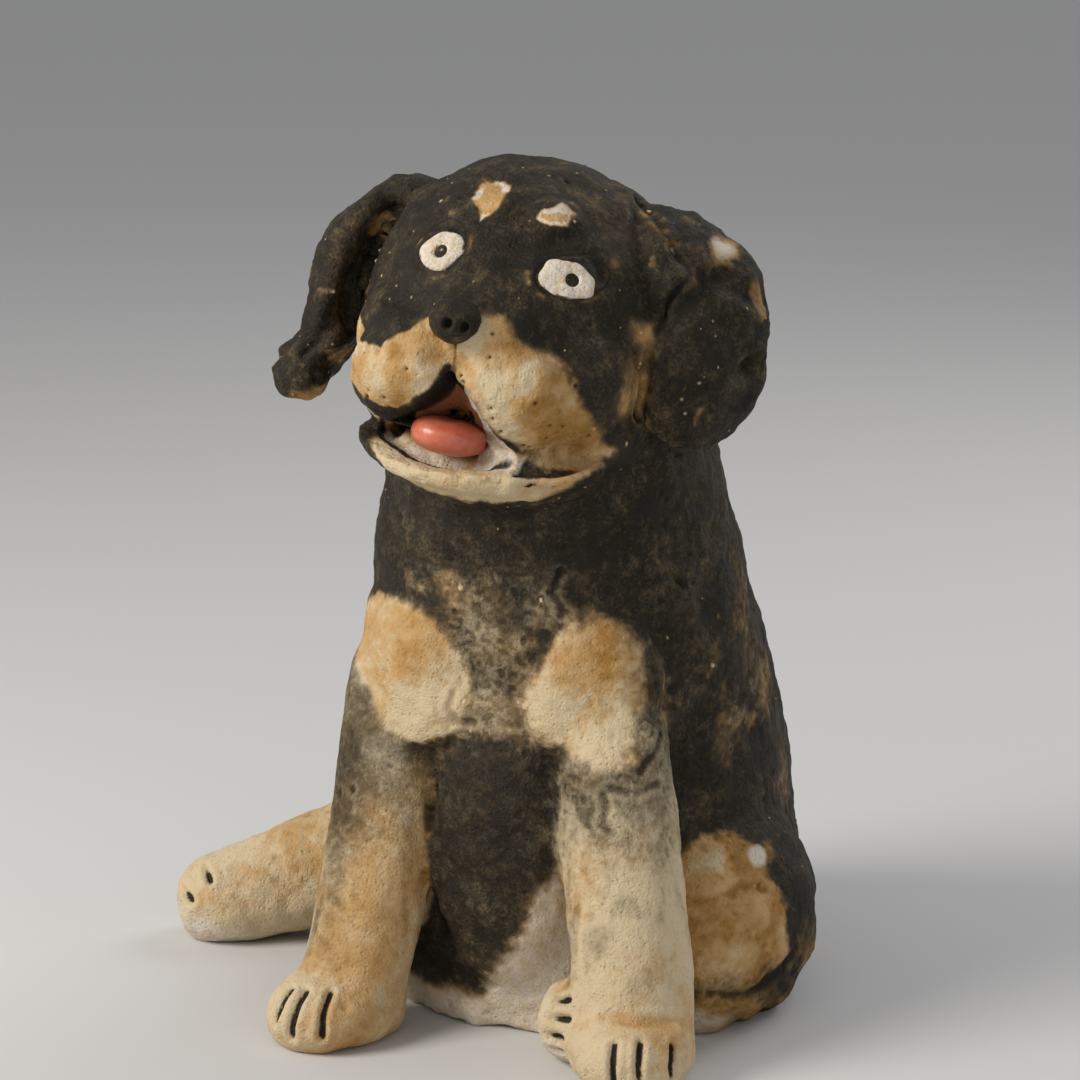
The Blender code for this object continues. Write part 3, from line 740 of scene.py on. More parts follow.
def paint(fine, rest, part, roof, pores, grains):
    """The share of each wash, slip, stain and painted shade at every point of the skin."""
    body, head = rest
    ragged = np.stack([1.9 * layered_noise(body, 8, seed, 4, 0.6) for seed in (31, 41, 51)], axis=1)
    body_r, head_r = body + ragged, head + 0.45 * ragged
    on_head_part = part("head")
    front = soft_step(40, 60, body[:, 1])
    streaks = layered_noise(body * (1, 1, 0.22), 4.5, 61, 3)
    mottle = layered_noise(body, 16, 71, 4)
    cloud = layered_noise(body, 30, 76, 3)

    wash = 0.97 + 0.14 * mottle + 0.1 * cloud
    tan = 0.95 + 0.3 * mottle
    slip = np.zeros(len(body))
    dark = np.zeros(len(body))

    # The chest is a thin grey-brown wash; the black-washed neck is made darkest just under the jaw, as a
    # painted shadow of the jaw
    chest = oval(body_r, (2, 80, 116), (34, 34, 40), 1.1)
    wash -= 0.27 * chest * (1 + 0.5 * layered_noise(body, 9, 201, 3))
    tan -= 0.45 * chest
    # painted shadow under the jaw: the neck's black wash is thickened in a band below it
    wash += 0.3 * oval(body_r, (5, 66, 162), (60, 66, 18), 1.5)
    wash -= 0.22 * soft_step(0.35, 0.95, layered_noise(body, 11, 211, 3)) * soft_step(20, 60, body[:, 1])
    side = soft_step(25, 50, body[:, 0]) * (1 - front)
    wash += 0.06 * side
    for place in ((52, 24, 119), (58, 12, 92), (56, 22, 140), (60, 2, 62)):
        wash -= 0.36 * oval(body_r, place, (8, 10, 13), 1.3)

    legs = part("legs")
    feet = part("feet")
    outer_side = soft_step(-33, -44, body[:, 0])
    bare_height = 62 - 14 * outer_side + 7 * streaks + 6 * layered_noise(body, 12, 81, 2)
    covered = soft_step(-20, 30, body[:, 2] - bare_height)
    film = 0.36 * soft_step(-0.3, 0.8, streaks) * soft_step(14, 40, body[:, 2])
    film += 0.28 * outer_side * soft_step(8, 30, body[:, 2])
    leg_wash = 0.68 * covered + film * (1 - covered) + 0.1 * mottle * covered
    wash = wash * (1 - legs) + legs * leg_wash
    golden = 0.6 - 0.45 * soft_step(-10, 10, body[:, 0]) + 0.4 * mottle + 0.3 * cloud
    tan = tan * (1 - legs) + legs * golden
    leg_smears = soft_step(0.0, 0.8, layered_noise(body, 14, 231, 3))
    slip += 0.35 * legs * soft_step(-10, 10, body[:, 0]) * leg_smears
    wash = wash * (1 - feet)
    tan = tan * (1 - feet) + feet * (0.36 + 0.45 * mottle + 0.3 * cloud)
    hind_toes = oval(body_r, (-120, 34, 6), (12, 14, 8), 1.0) + oval(body_r, (-100, 40, 3), (22, 16, 5), 1.0)
    slip = np.maximum(slip, 0.6 * hind_toes)
    wash += 0.22 * part("feet") * soft_step(0.3, 1.0, streaks) * (body[:, 0] < -60)

    right = inside_outline(body + 0.7 * ragged, RIGHT_SHOULDER, 1.6) * front
    left = inside_outline(body_r, LEFT_SHOULDER, 4) * front
    rim = inside_outline(body + 0.8 * ragged, RIGHT_SHOULDER, 4) * front
    wash = wash * (1 - np.maximum(right, left)) - 0.5 * wash * (rim - right).clip(0)
    right_low = soft_step(108, 92, body[:, 2] - 0.4 * (body[:, 0] + 28))
    tan = tan * (1 - right) + right * (0.62 - 0.4 * right_low + 0.4 * layered_noise(body, 12, 221, 3))
    low = soft_step(118, 92, body[:, 2])
    tan = tan * (1 - left) + left * (0.6 - 0.5 * low + 0.5 * layered_noise(body, 11, 261, 3))
    slip += 0.7 * (rim - right).clip(0) * soft_step(108, 118, body[:, 2])
    slip += 0.45 * left * low * soft_step(0.1, 0.8, layered_noise(body, 6, 91, 2))

    pad = inside_outline(body_r, CHEST_OVAL, 4.5) * front
    blob = inside_outline(body_r, LEG_BLOB, 3) * front
    fading = 0.62 + 0.38 * soft_step(8, 60, body[:, 2])
    wash = np.maximum(wash, np.maximum(pad * fading, 0.8 * blob) * (0.84 + 0.1 * mottle + 0.05 * streaks))
    white = inside_outline(body_r, WHITE_CHEST, 6) * front * (1 - legs)
    wash = wash * (1 - 0.8 * white)
    tan = tan * (1 - white)
    slip = np.maximum(slip, 0.8 * white)
    rim_low = (1 - soft_step(5, 15, body_r[:, 2])) * front * (1 - legs)
    wash = wash * (1 - 0.9 * rim_low)
    tan = tan * (1 - 0.7 * rim_low)
    slip = np.maximum(slip, 0.65 * rim_low)

    haunches = part("haunches")
    above = soft_step(14, 24, body_r[:, 2])
    fore = soft_step(34 - 8 * (1 - above), 42, body_r[:, 1]) * (1 - soft_step(54, 62, body_r[:, 2]))
    blotches = layered_noise(body, 15, 101, 3)
    ochre = haunches * fore * (0.98 - 0.25 * soft_step(0.2, 0.8, blotches))
    brown = haunches * (1 - above) * soft_step(12, 30, body[:, 1])
    wash = wash * (1 - ochre * above) * (1 - brown * (0.45 + 0.3 * blotches).clip(0, 0.9))
    folds = np.zeros(len(body))
    for place, radius, _ in HAUNCH_FOLDS[:4]:
        folds = np.maximum(folds, oval(body + 0.7 * ragged, place, radius, 0.7))
    tan = np.maximum(tan, haunches * (1.25 + 0.25 * soft_step(0, 0.5, -blotches)))
    tan = tan - 0.62 * folds * haunches
    back_low = soft_step(26, 8, body[:, 2]) * (1 - front)
    wash -= 0.35 * back_low * soft_step(-0.3, 0.6, blotches)
    side_worn = soft_step(0.1, 0.8, layered_noise(body * (1, 1, 0.6), 13, 311, 4, 0.6))
    wash -= 0.3 * side_worn * part("body") * (1 - front)
    haunch_chip = inside_outline(body_r, HAUNCH_CHIP, 1.5, (1, 2)) * haunches * soft_step(40, 60, body[:, 0])
    wash = wash * (1 - haunch_chip)
    tan = tan * (1 - 0.7 * haunch_chip)
    haunch_white = oval(body + 0.5 * ragged, (65, 39.5, 50.5), (5, 3.6, 2.8), 1.7)
    slip = np.maximum(slip, haunch_white)
    haunch_bits = oval(body_r, (68, 34, 51), (5, 4, 3.5), 0.8)
    wash -= 0.5 * haunch_bits

    # Head: black, with the tan muzzle, the cream lower lip and a streak of ochre on the left cheek
    muzzle = np.maximum(inside_outline(head_r, RIGHT_TAN, 0.8), inside_outline(head_r, LEFT_TAN, 2.2))
    muzzle *= soft_step(18, 30, head[:, 1])
    brown = oval(head_r, (26, 14, 32), (12, 16, 12), 1.2)
    brown = brown + 0.8 * oval(head_r, (38, 30, -10), (10, 16, 16), 1.2)
    head_wash = 1.0 + 0.06 * mottle - 0.2 * brown
    wash = wash * (1 - on_head_part) + on_head_part * head_wash
    wash = wash * (1 - muzzle)
    outer = soft_step(12, 34, head[:, 0]) * soft_step(8, -18, head[:, 2])
    muzzle_tan = 0.6 + 0.6 * layered_noise(body, 7, 111, 3) + 0.6 * outer
    wash += 0.3 * muzzle * outer * soft_step(0.1, 0.9, layered_noise(body, 5, 301, 3))
    tan = tan * (1 - muzzle) + muzzle * muzzle_tan
    right_end = soft_step(-24, -29, head[:, 0]) * soft_step(-20.5, -22.5, head[:, 2])
    right_end = right_end * soft_step(8, 18, head[:, 1])
    band = inside_outline(head_r, JAW_BAND, 1.3) * np.maximum(part("jaw"), right_end)
    under = part("jaw") * (1 - band)
    wash = wash * (1 - band) + 0.12 * band * soft_step(15, 34, head[:, 0])
    wash = np.maximum(wash, under * soft_step(-25, -30, head[:, 2]))
    wash = wash * (1 - part("jaw") * soft_step(-29, -25, head[:, 2]) * (head[:, 0] < 0))
    tan = tan * (1 - band) + band * (0.12 + 0.3 * mottle + 0.55 * soft_step(14, 32, head[:, 0]))
    across = np.hypot(head[:, 0] / 37, (head[:, 1] - 25) / 35)
    mouth = part("jaw") * soft_step(-38, -35, head[:, 2]) * (head[:, 1] > 22)
    mouth_floor = mouth * soft_step(0.78, 0.72, across) * (head[:, 0] < 22)
    slip = np.maximum(slip, 0.9 * mouth_floor * soft_step(-0.7, 0.1, layered_noise(body, 6, 181, 2)))
    wash = wash * (1 - mouth_floor)
    groove = mouth * np.exp(-(((across - 0.79) / 0.035) ** 2)) * (head[:, 0] < 20)
    dark = np.maximum(dark, groove)
    cheek = inside_outline(head_r, CHEEK, 2.5) * soft_step(10, 18, head[:, 1])
    cheek = cheek * (0.65 + 0.3 * layered_noise(body, 6, 241, 3)).clip(0, 1)
    wash = wash * (1 - cheek)
    tan = np.maximum(tan, cheek * 1.0)
    for outline in (RIGHT_BROW, LEFT_BROW):
        spot = inside_outline(head_r, outline, 0.8) * (head[:, 1] > 0)
        inner = soft_step(0.72, 0.98, inside_outline(head + ragged, outline, 2.2)) * spot
        wash = wash * (1 - spot)
        patches = soft_step(-0.5, 0.25, layered_noise(body, 6, 191, 2))
        slip = np.maximum(slip, 0.85 * spot * (1 - inner) * patches)
        tan = tan * (1 - spot) + spot * 0.8
    lips = distance_to_line(head, ((-2.9, 58, -7), (-7, 57, -14), (-15, 54, -20.5), (-27, 50, -21.5)))
    dark = np.maximum(dark, 0.85 * (1 - soft_step(1.6, 4.2, lips)) * (head[:, 0] < -3))
    dark = np.maximum(dark, 0.9 * (1 - soft_step(0.5, 1.6, distance_to_line(head, CLEFT))))
    flat = (head + 0.4 * ragged) * (1, 0, 1)
    at_front = soft_step(36, 46, head[:, 1])
    chips = (1 - soft_step(0.9, 2.2, distance_to_line(flat, PALE_CHIPS))) * at_front
    slip = np.maximum(slip, 0.9 * chips)
    corner = (1 - soft_step(0.6, 2.0, distance_to_line(flat, MOUTH_CORNER))) * at_front
    dark = np.maximum(dark, 0.85 * corner)
    corner_patch = ((4, -23), (19, -26), (21, -31), (4, -33))
    corner_slip = inside_outline(flat, corner_patch, 0.8) * soft_step(53.5, 51.5, head[:, 1])
    slip = np.maximum(slip, 0.85 * corner_slip * at_front)
    wash = wash * (1 - corner_slip * at_front)
    red = roof * inside_outline(head, PALATE, 0.8) * (1 - chips)
    slip = np.maximum(slip, 0.85 * roof * (head[:, 0] > 4))
    # painted shade deep in the mouth: the roof on the right, outside the palate, is darkened
    dark = np.maximum(dark, 0.8 * roof * (1 - red) * (head[:, 0] < 0))
    # two vent holes in the palate, a slot and a dot, drawn only as painted shade
    holes = distance_to_line(head * (1, 0, 1), ((1.6, 0, -18.5), (1.8, 0, -22.5)))
    holes = np.minimum(holes, distance_to_line(head * (1, 0, 1), ((-4.7, 0, -20.3), (-4.3, 0, -20.3))))
    dark = np.maximum(dark, (1 - soft_step(0.5, 1.1, holes)) * roof)
    seam = distance_to_line(head, SKULL_SEAM[3:])
    dark = np.maximum(dark, 0.8 * (1 - soft_step(0.5, 1.8, seam)))
    open_seam = distance_to_line(head, SKULL_SEAM[2:4])
    slip = np.maximum(slip, 0.7 * (1 - soft_step(0.5, 1.6, open_seam)))
    for place, radii in ((RIGHT_EYE_PLACE, RIGHT_EYE_RADII), (LEFT_EYE_PLACE, LEFT_EYE_RADII)):
        away = eye_ring(head_r * 0.5 + head * 0.5, place, radii)
        # painted shade in the crease round each eye's edge
        dark = np.maximum(dark, 0.7 * np.exp(-(((away - 1.04) / 0.06) ** 2)))
        worn = soft_step(0.0, 0.6, layered_noise(body, 5, 121, 2))
        wash -= 0.45 * worn * np.exp(-(((away - 1.25) / 0.16) ** 2)) * (away < 2)
    for slit in PAW_SLITS + HIND_SLITS:
        dark = np.maximum(dark, 1 - soft_step(0.55, 1.35, distance_to_line(body, slit)))
    for crack in LEG_CRACKS + (CHEST_CRACK,):
        dark = np.maximum(dark, 0.3 * (1 - soft_step(0.2, 1.8, distance_to_line(body + 0.3 * ragged, crack))))
    # painted shade along the raised left edge of the chest's dark pad, where the slab's edge casts a shadow
    edge = distance_to_line(body_r, OVAL_EDGE)
    dark = np.maximum(dark, 0.6 * (1 - soft_step(0.6, 2.4, edge)))
    dark = np.maximum(dark, 0.75 * pores)
    for crack in HAUNCH_CRACKS:
        soft = 1 - soft_step(0.3, 2.8, distance_to_line(body + 0.6 * ragged, crack))
        wash += 0.16 * soft * (0.5 + 0.5 * soft_step(-0.5, 0.5, streaks))
    wash -= 0.8 * grains
    tan -= 0.5 * grains

    # Ears: bare chips on the edges and an ochre smear inside the hollow
    wash -= 0.7 * oval(body + 0.5 * ragged, (56, 46, 226), (3, 5, 6), 1.4)
    slip = np.maximum(slip, 0.8 * oval(body + 0.5 * ragged, (56, 47, 226), (3, 4, 5), 1.6))
    tan_chips = 0.6 * oval(body_r, (64, 45, 212), (3, 3.5, 7), 0.9)
    upper_chip = 0.7 * oval(body_r, (-40, 66, 229), (4, 9, 5), 0.8)
    tan_chips += upper_chip + 0.7 * oval(body_r, (-44, 70, 214), (4, 9, 7), 0.8)
    tan_chips += 0.8 * oval(body_r, (-50, 62, 187), (7, 10, 7), 0.9)
    tan_chips += 0.95 * oval(body_r, (-56, 64, 174), (15, 12, 5), 0.7)
    tan_chips = tan_chips.clip(0, 1)
    wash = wash * (1 - tan_chips)
    tan = np.maximum(tan, tan_chips * 0.9)
    ears = part("ears")
    rub_marks = layered_noise(body * (1, 1, 0.5), 6, 171, 3)
    rubbed = soft_step(0.25, 0.8, rub_marks) * soft_step(205, 180, body[:, 2])
    wash -= 0.45 * ears * rubbed
    scuffs = soft_step(0.45, 1.0, layered_noise(body, 7, 251, 4, 0.6))
    wash -= 0.34 * scuffs * on_head_part * (0.5 + 0.5 * ears) * (1 - muzzle)

    small = (fine.points - np.stack([fine.blur(c, 2) for c in fine.points.T], axis=1))
    large = (fine.points - np.stack([fine.blur(c, 12) for c in fine.points.T], axis=1))
    normals = fine.normals()
    relief = (small * normals).sum(axis=1) / 2.5e-5 + (large * normals).sum(axis=1) / 2e-4
    return {
        "wash": wash.clip(0, 1.2),
        "tan": tan.clip(0, 1.2),
        "slip": slip.clip(0, 1),
        "dark": dark.clip(0, 1),
        "red": red.clip(0, 1),
        "relief": np.clip(relief, -2, 2),
    }


# ---------------------------------------------------------------- build


def write_mesh(name, points, polygons, normals=None):
    mesh = bpy.data.meshes.new(name)
    mesh.from_pydata(points, [], polygons)
    mesh.shade_smooth()
    if normals is not None:
        mesh.normals_split_custom_set_from_vertices(normals)
    return mesh


def add_masks(mesh, masks):
    for mask, values in masks.items():
        layer = mesh.attributes.new(mask, "FLOAT", "POINT")
        layer.data.foreach_set("value", np.asarray(values).astype(np.float32))


def add_piece(name, mesh, replaced):
    obj = bpy.data.objects.new(name, mesh)
    bpy.context.scene.collection.objects.link(obj)
    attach(obj, "root")
    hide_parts(replaced)
    return obj


def part_skin(coarse, fine, cell_piece, masks, material):
    """One closed piece of clay for each frame piece, out of the cells that lie nearest to it."""
    normals = fine.normals()
    soft = np.stack([fine.blur(column, 6) for column in normals.T], axis=1)
    soft /= np.linalg.norm(soft, axis=1, keepdims=True)
    size = len(coarse.points)
    inner = fine.points[:size] - soft[:size] * SKIN_DEPTH / 1000
    inner[:, 2] = np.maximum(inner[:, 2], 0.0002)
    for number, name in enumerate(CLAY_PIECES):
        chosen = np.nonzero(cell_piece == number)[0]
        outer_cells = fine.cells.reshape(-1, 4, 4)[chosen].reshape(-1, 4)
        cells = coarse.cells[chosen]
        sides = coarse.side_edge[chosen]
        uses = np.bincount(sides.ravel(), minlength=len(coarse.edges))
        row, side = np.nonzero(uses[sides] == 1)
        start, end = cells[row, side], cells[row, (side + 1) % 4]
        middle = size + sides[row, side]
        used_outer, used_inner = np.unique(outer_cells), np.unique(cells)
        to_outer = np.full(len(fine.points), -1)
        to_outer[used_outer] = np.arange(len(used_outer))
        to_inner = np.full(size, -1)
        to_inner[used_inner] = len(used_outer) + np.arange(len(used_inner))
        rims = np.stack(
            (to_outer[end], to_outer[middle], to_outer[start], to_inner[start], to_inner[end]), axis=1
        )
        polygons = to_outer[outer_cells].tolist() + to_inner[cells[:, ::-1]].tolist() + rims.tolist()
        points = np.concatenate((fine.points[used_outer], inner[used_inner]))
        directions = np.concatenate((normals[used_outer], -soft[used_inner]))
        piece_name = name.replace("_shell", "") + "_clay"
        mesh = write_mesh(piece_name, points, polygons, directions)
        kept = np.concatenate((used_outer, used_inner))
        add_masks(mesh, {mask: values[kept] for mask, values in masks.items()})
        mesh.materials.append(material)
        add_piece(piece_name, mesh, name)


def round_mesh(rings, segments):
    """Polar cells: rings of points between a first and a last single point."""
    polygons = []
    last = 1 + rings * segments
    for step in range(segments):
        after = (step + 1) % segments
        polygons.append((0, 1 + step, 1 + after))
        for ring in range(rings - 1):
            base = 1 + ring * segments
            polygons.append((base + step, base + segments + step, base + segments + after, base + after))
        base = 1 + (rings - 1) * segments
        polygons.append((base + step, last, base + after))
    return polygons


def eye_piece(name, fine, place, radii, pupil, seed, material):
    """A flat disc of white slip let into the skull, with a poked pupil and a worn edge."""
    segments, top_rings, under_rings = 72, 30, 8
    centre = from_head(place)
    nearest = np.linalg.norm(fine.points - centre, axis=1)
    near = nearest < 0.006
    normal = fine.normals()[near].mean(axis=0)
    normal /= np.linalg.norm(normal)
    base = fine.points[near]
    middle = base.mean(axis=0)
    centre = centre + normal * ((middle - centre) @ normal)
    left = HEAD_AXES @ np.array((1, 0, 0))
    left = left - normal * (left @ normal)
    left /= np.linalg.norm(left)
    up = np.cross(normal, left) if np.cross(normal, left)[2] > 0 else np.cross(left, normal)
    turn = np.linspace(0, 2 * math.pi, segments, endpoint=False)
    random = np.random.default_rng(seed)
    edge = np.ones(segments)
    for wave in range(2, 8):
        edge += random.uniform(-0.06, 0.06) / wave**0.4 * np.cos(wave * turn + random.uniform(0, 6.3))
    shares = np.concatenate((np.linspace(0, 1, top_rings + 1)[1:], np.linspace(1, 0, under_rings + 1)[1:-1]))
    under = np.arange(len(shares)) >= top_rings
    flat = shares[:, None] * edge
    x = flat * radii[0] * np.cos(turn)
    y = flat * radii[1] * np.sin(turn)
    dome = 1.7 * np.sqrt(np.clip(1 - 0.93 * shares**4, 0, 1))[:, None] + 0 * x
    height = np.where(under[:, None], -2.6, dome - 0.9)
    x = np.concatenate(([0], x.ravel(), [0]))
    y = np.concatenate(([0], y.ravel(), [0]))
    height = np.concatenate(([0.8], height.ravel(), [-2.6]))
    on_top = np.concatenate(([True], np.repeat(~under, segments), [False]))
    places = np.stack((x, y, height), axis=1)
    height += on_top * (0.22 * layered_noise(places + seed * 50, 3, seed, 2))
    away = np.hypot(x - pupil[0], y - pupil[1])
    pit = np.exp(-((away / 1.6) ** 4)) * on_top
    height -= 2.6 * pit
    points = centre + (x[:, None] * left + y[:, None] * up + height[:, None] * normal) / 1000
    polygons = round_mesh(len(shares), segments)
    mesh = write_mesh(name, points, polygons)
    worn = soft_step(0.86, 1.0, np.hypot(x / radii[0], y / radii[1])) * soft_step(
        -0.2, 0.4, layered_noise(places, 2.5, seed + 5, 2)
    )
    hole = soft_step(0.05, 0.5, pit)
    masks = {
        "wash": np.maximum(0.75 * worn, hole),
        "tan": 0.3 + 0.3 * worn,
        "slip": (1 - worn) * (1 - hole),
        # the disc's sunken side and underside are painted dark as shade
        "dark": np.maximum(hole, 0.9 * (~on_top)),
        "red": 0 * x,
        "relief": 0 * x,
    }
    add_masks(mesh, masks)
    mesh.materials.append(material)
    return mesh


def ball_points(rings, segments):
    """Directions over a ball, from its top to its bottom."""
    points = [(0, 0, 1)]
    for ring in range(1, rings + 1):
        tilt = math.pi * ring / (rings + 1)
        for step in range(segments):
            turn = 2 * math.pi * step / segments
            points.append((math.sin(tilt) * math.cos(turn), math.sin(tilt) * math.sin(turn), math.cos(tilt)))
    points.append((0, 0, -1))
    return np.array(points)


def nose_piece(material):
    """A pinched ball with two poked nostrils."""
    rings, segments = 46, 72
    directions = ball_points(rings, segments)
    places = directions * NOSE_RADII
    places[:, 0] *= 1 + 0.1 * directions[:, 2]  # a little wider at the top
    places += directions * (0.35 * layered_noise(places, 6, 131, 2))[:, None]
    places += directions * (0.12 * layered_noise(places, 1.8, 141, 2))[:, None]
    holes = np.zeros(len(places))
    for x, y, z in ((0.1, 6.5, 0.2), (4.4, 5.2, 0.0)):
        hole = np.exp(-((np.linalg.norm((places - (x, y, z)) * (1, 0.6, 0.9), axis=1) / 1.25) ** 4))
        holes = np.maximum(holes, hole)
    places[:, 1] -= 2.4 * holes
    points = from_head(places + NOSE_PLACE)
    mesh = write_mesh("nose_clay", points, round_mesh(rings, segments))
    worn = soft_step(0.2, 0.9, -directions[:, 2] + 0.5 * layered_noise(places, 4, 151, 2))
    masks = {
        "wash": 1.05 - 0.35 * worn,
        "tan": 0.8 + 0 * holes,
        "slip": 0 * holes,
        "dark": holes,
        "red": 0 * holes,
        "relief": 0 * holes,
    }
    add_masks(mesh, masks)
    mesh.materials.append(material)
    return mesh


def tongue_piece(material):
    """A thick rounded tongue that lies on the lower lip."""
    rings, segments = 40, 72
    directions = ball_points(rings, segments)
    squared = np.sign(directions) * np.abs(directions) ** (0.9, 0.9, 0.85)
    places = squared * TONGUE_RADII
    places += directions * (0.45 * layered_noise(places, 8, 161, 2))[:, None]
    places[:, 2] -= 0.5 * np.exp(-((places[:, 0] / 2.5) ** 2)) * (directions[:, 2] > 0) * directions[:, 2]
    tilt = np.array(Euler((math.radians(10), 0, 0)).to_matrix())
    points = from_head(places @ tilt.T + TONGUE_PLACE)
    mesh = write_mesh("tongue_glazed", points, round_mesh(rings, segments))
    mesh.materials.append(material)
    return mesh


def face_outward(mesh):
    """Turns a closed mesh's faces outward."""
    bm = bmesh.new()
    bm.from_mesh(mesh)
    bmesh.ops.recalc_face_normals(bm, faces=bm.faces)
    bm.to_mesh(mesh)
    bm.free()
    mesh.shade_smooth()
    return mesh


def lining_mesh(material):
    """The inside of the hollow body: the torso's wall without the skin that lies outside it."""
    bm = bmesh.new()
    bm.from_mesh(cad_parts["torso_shell"].data)
    bmesh.ops.remove_doubles(bm, verts=bm.verts, dist=1e-5)
    bm.normal_update()
    moves = {}
    for vert in bm.verts:
        place = on_body(np.array([vert.co]))[0]
        axis = from_body((0, np.interp(place[2], (0, 60, 124, 204), (0, 12, 29, 48)), place[2]))
        radial = Vector(np.array(vert.co) - axis)
        radial.z = 0
        if vert.normal.dot(radial) > 0:
            moves[vert] = -radial.normalized() * (SKIN_DEPTH + 1.2) / 1000
    for vert, move in moves.items():
        vert.co += move
    for vert in bm.verts:
        vert.co.z = max(vert.co.z, 0.0005)
    mesh = bpy.data.meshes.new("body_lining")
    bm.to_mesh(mesh)
    bm.free()
    mesh.shade_smooth()
    mesh.materials.append(material)
    return mesh


# ---------------------------------------------------------------- materials


class Nodes:
    """Short calls for building one material's node tree."""

    def __init__(self, name):
        self.material = bpy.data.materials.new(name)
        self.material.use_nodes = True
        self.tree = self.material.node_tree
        self.shader = self.tree.nodes["Principled BSDF"]
        self.place = self.tree.nodes.new("ShaderNodeTexCoord").outputs["Object"]

    def link(self, source, socket):
        if isinstance(source, bpy.types.NodeSocket):
            self.tree.links.new(source, socket)
        else:
            socket.default_value = source

    def math(self, operation, first, second=0.0, clamp=False):
        node = self.tree.nodes.new("ShaderNodeMath")
        node.operation = operation
        node.use_clamp = clamp
        self.link(first, node.inputs[0])
        self.link(second, node.inputs[1])
        return node.outputs[0]

    def mask(self, name):
        node = self.tree.nodes.new("ShaderNodeAttribute")
        node.attribute_name = name
        return node.outputs["Fac"]

    def noise(self, size, detail=4, roughness=0.6, stretch=None):
        """Noise from 0 to 1 whose lumps are about this many millimetres across."""
        node = self.tree.nodes.new("ShaderNodeTexNoise")
        node.inputs["Scale"].default_value = 1000 / size
        node.inputs["Detail"].default_value = detail
        node.inputs["Roughness"].default_value = roughness
        place = self.place
        if stretch:
            scaled = self.tree.nodes.new("ShaderNodeVectorMath")
            scaled.operation = "MULTIPLY"
            scaled.inputs[1].default_value = stretch
            self.tree.links.new(place, scaled.inputs[0])
            place = scaled.outputs[0]
        self.tree.links.new(place, node.inputs["Vector"])
        return node.outputs["Fac"]

    def cells(self, size):
        node = self.tree.nodes.new("ShaderNodeTexVoronoi")
        node.inputs["Scale"].default_value = 1000 / size
        self.tree.links.new(self.place, node.inputs["Vector"])
        return node.outputs["Distance"]

    def step(self, value, low, high, to_low=0.0, to_high=1.0):
        """A smooth step of a value between two limits."""
        node = self.tree.nodes.new("ShaderNodeMapRange")
        node.interpolation_type = "SMOOTHSTEP"
        self.link(value, node.inputs[0])
        for index, limit in enumerate((low, high, to_low, to_high)):
            node.inputs[index + 1].default_value = limit
        return node.outputs[0]

    def mix(self, factor, first, second):
        node = self.tree.nodes.new("ShaderNodeMix")
        node.data_type = "RGBA"
        self.link(factor, node.inputs[0])
        self.link(self.colour(first), node.inputs[6])
        self.link(self.colour(second), node.inputs[7])
        return node.outputs[2]

    @staticmethod
    def colour(value):
        return value if isinstance(value, bpy.types.NodeSocket) else (*value, 1)

    def bump(self, height, strength, distance):
        node = self.tree.nodes.new("ShaderNodeBump")
        node.inputs["Strength"].default_value = strength
        node.inputs["Distance"].default_value = distance
        self.tree.links.new(height, node.inputs["Height"])
        self.tree.links.new(node.outputs[0], self.shader.inputs["Normal"])


CREAM = (0.60, 0.48, 0.30)
BUFF = (0.49, 0.30, 0.125)
OCHRE = (0.34, 0.175, 0.04)
RUST = (0.17, 0.07, 0.018)
BLACK = (0.0062, 0.0055, 0.0032)
CHARCOAL = (0.0125, 0.0108, 0.0062)
GREY_BROWN = (0.058, 0.044, 0.025)
UMBER = (0.15, 0.105, 0.052)
WHITE = (0.70, 0.63, 0.56)
# near black, for stains, slits and cracks, and for painted shade
STAIN_AND_SHADE = (0.006, 0.004, 0.002)
TERRACOTTA = (0.26, 0.085, 0.04)
CORAL = (0.52, 0.10, 0.05)
PALE_CORAL = (0.60, 0.18, 0.10)


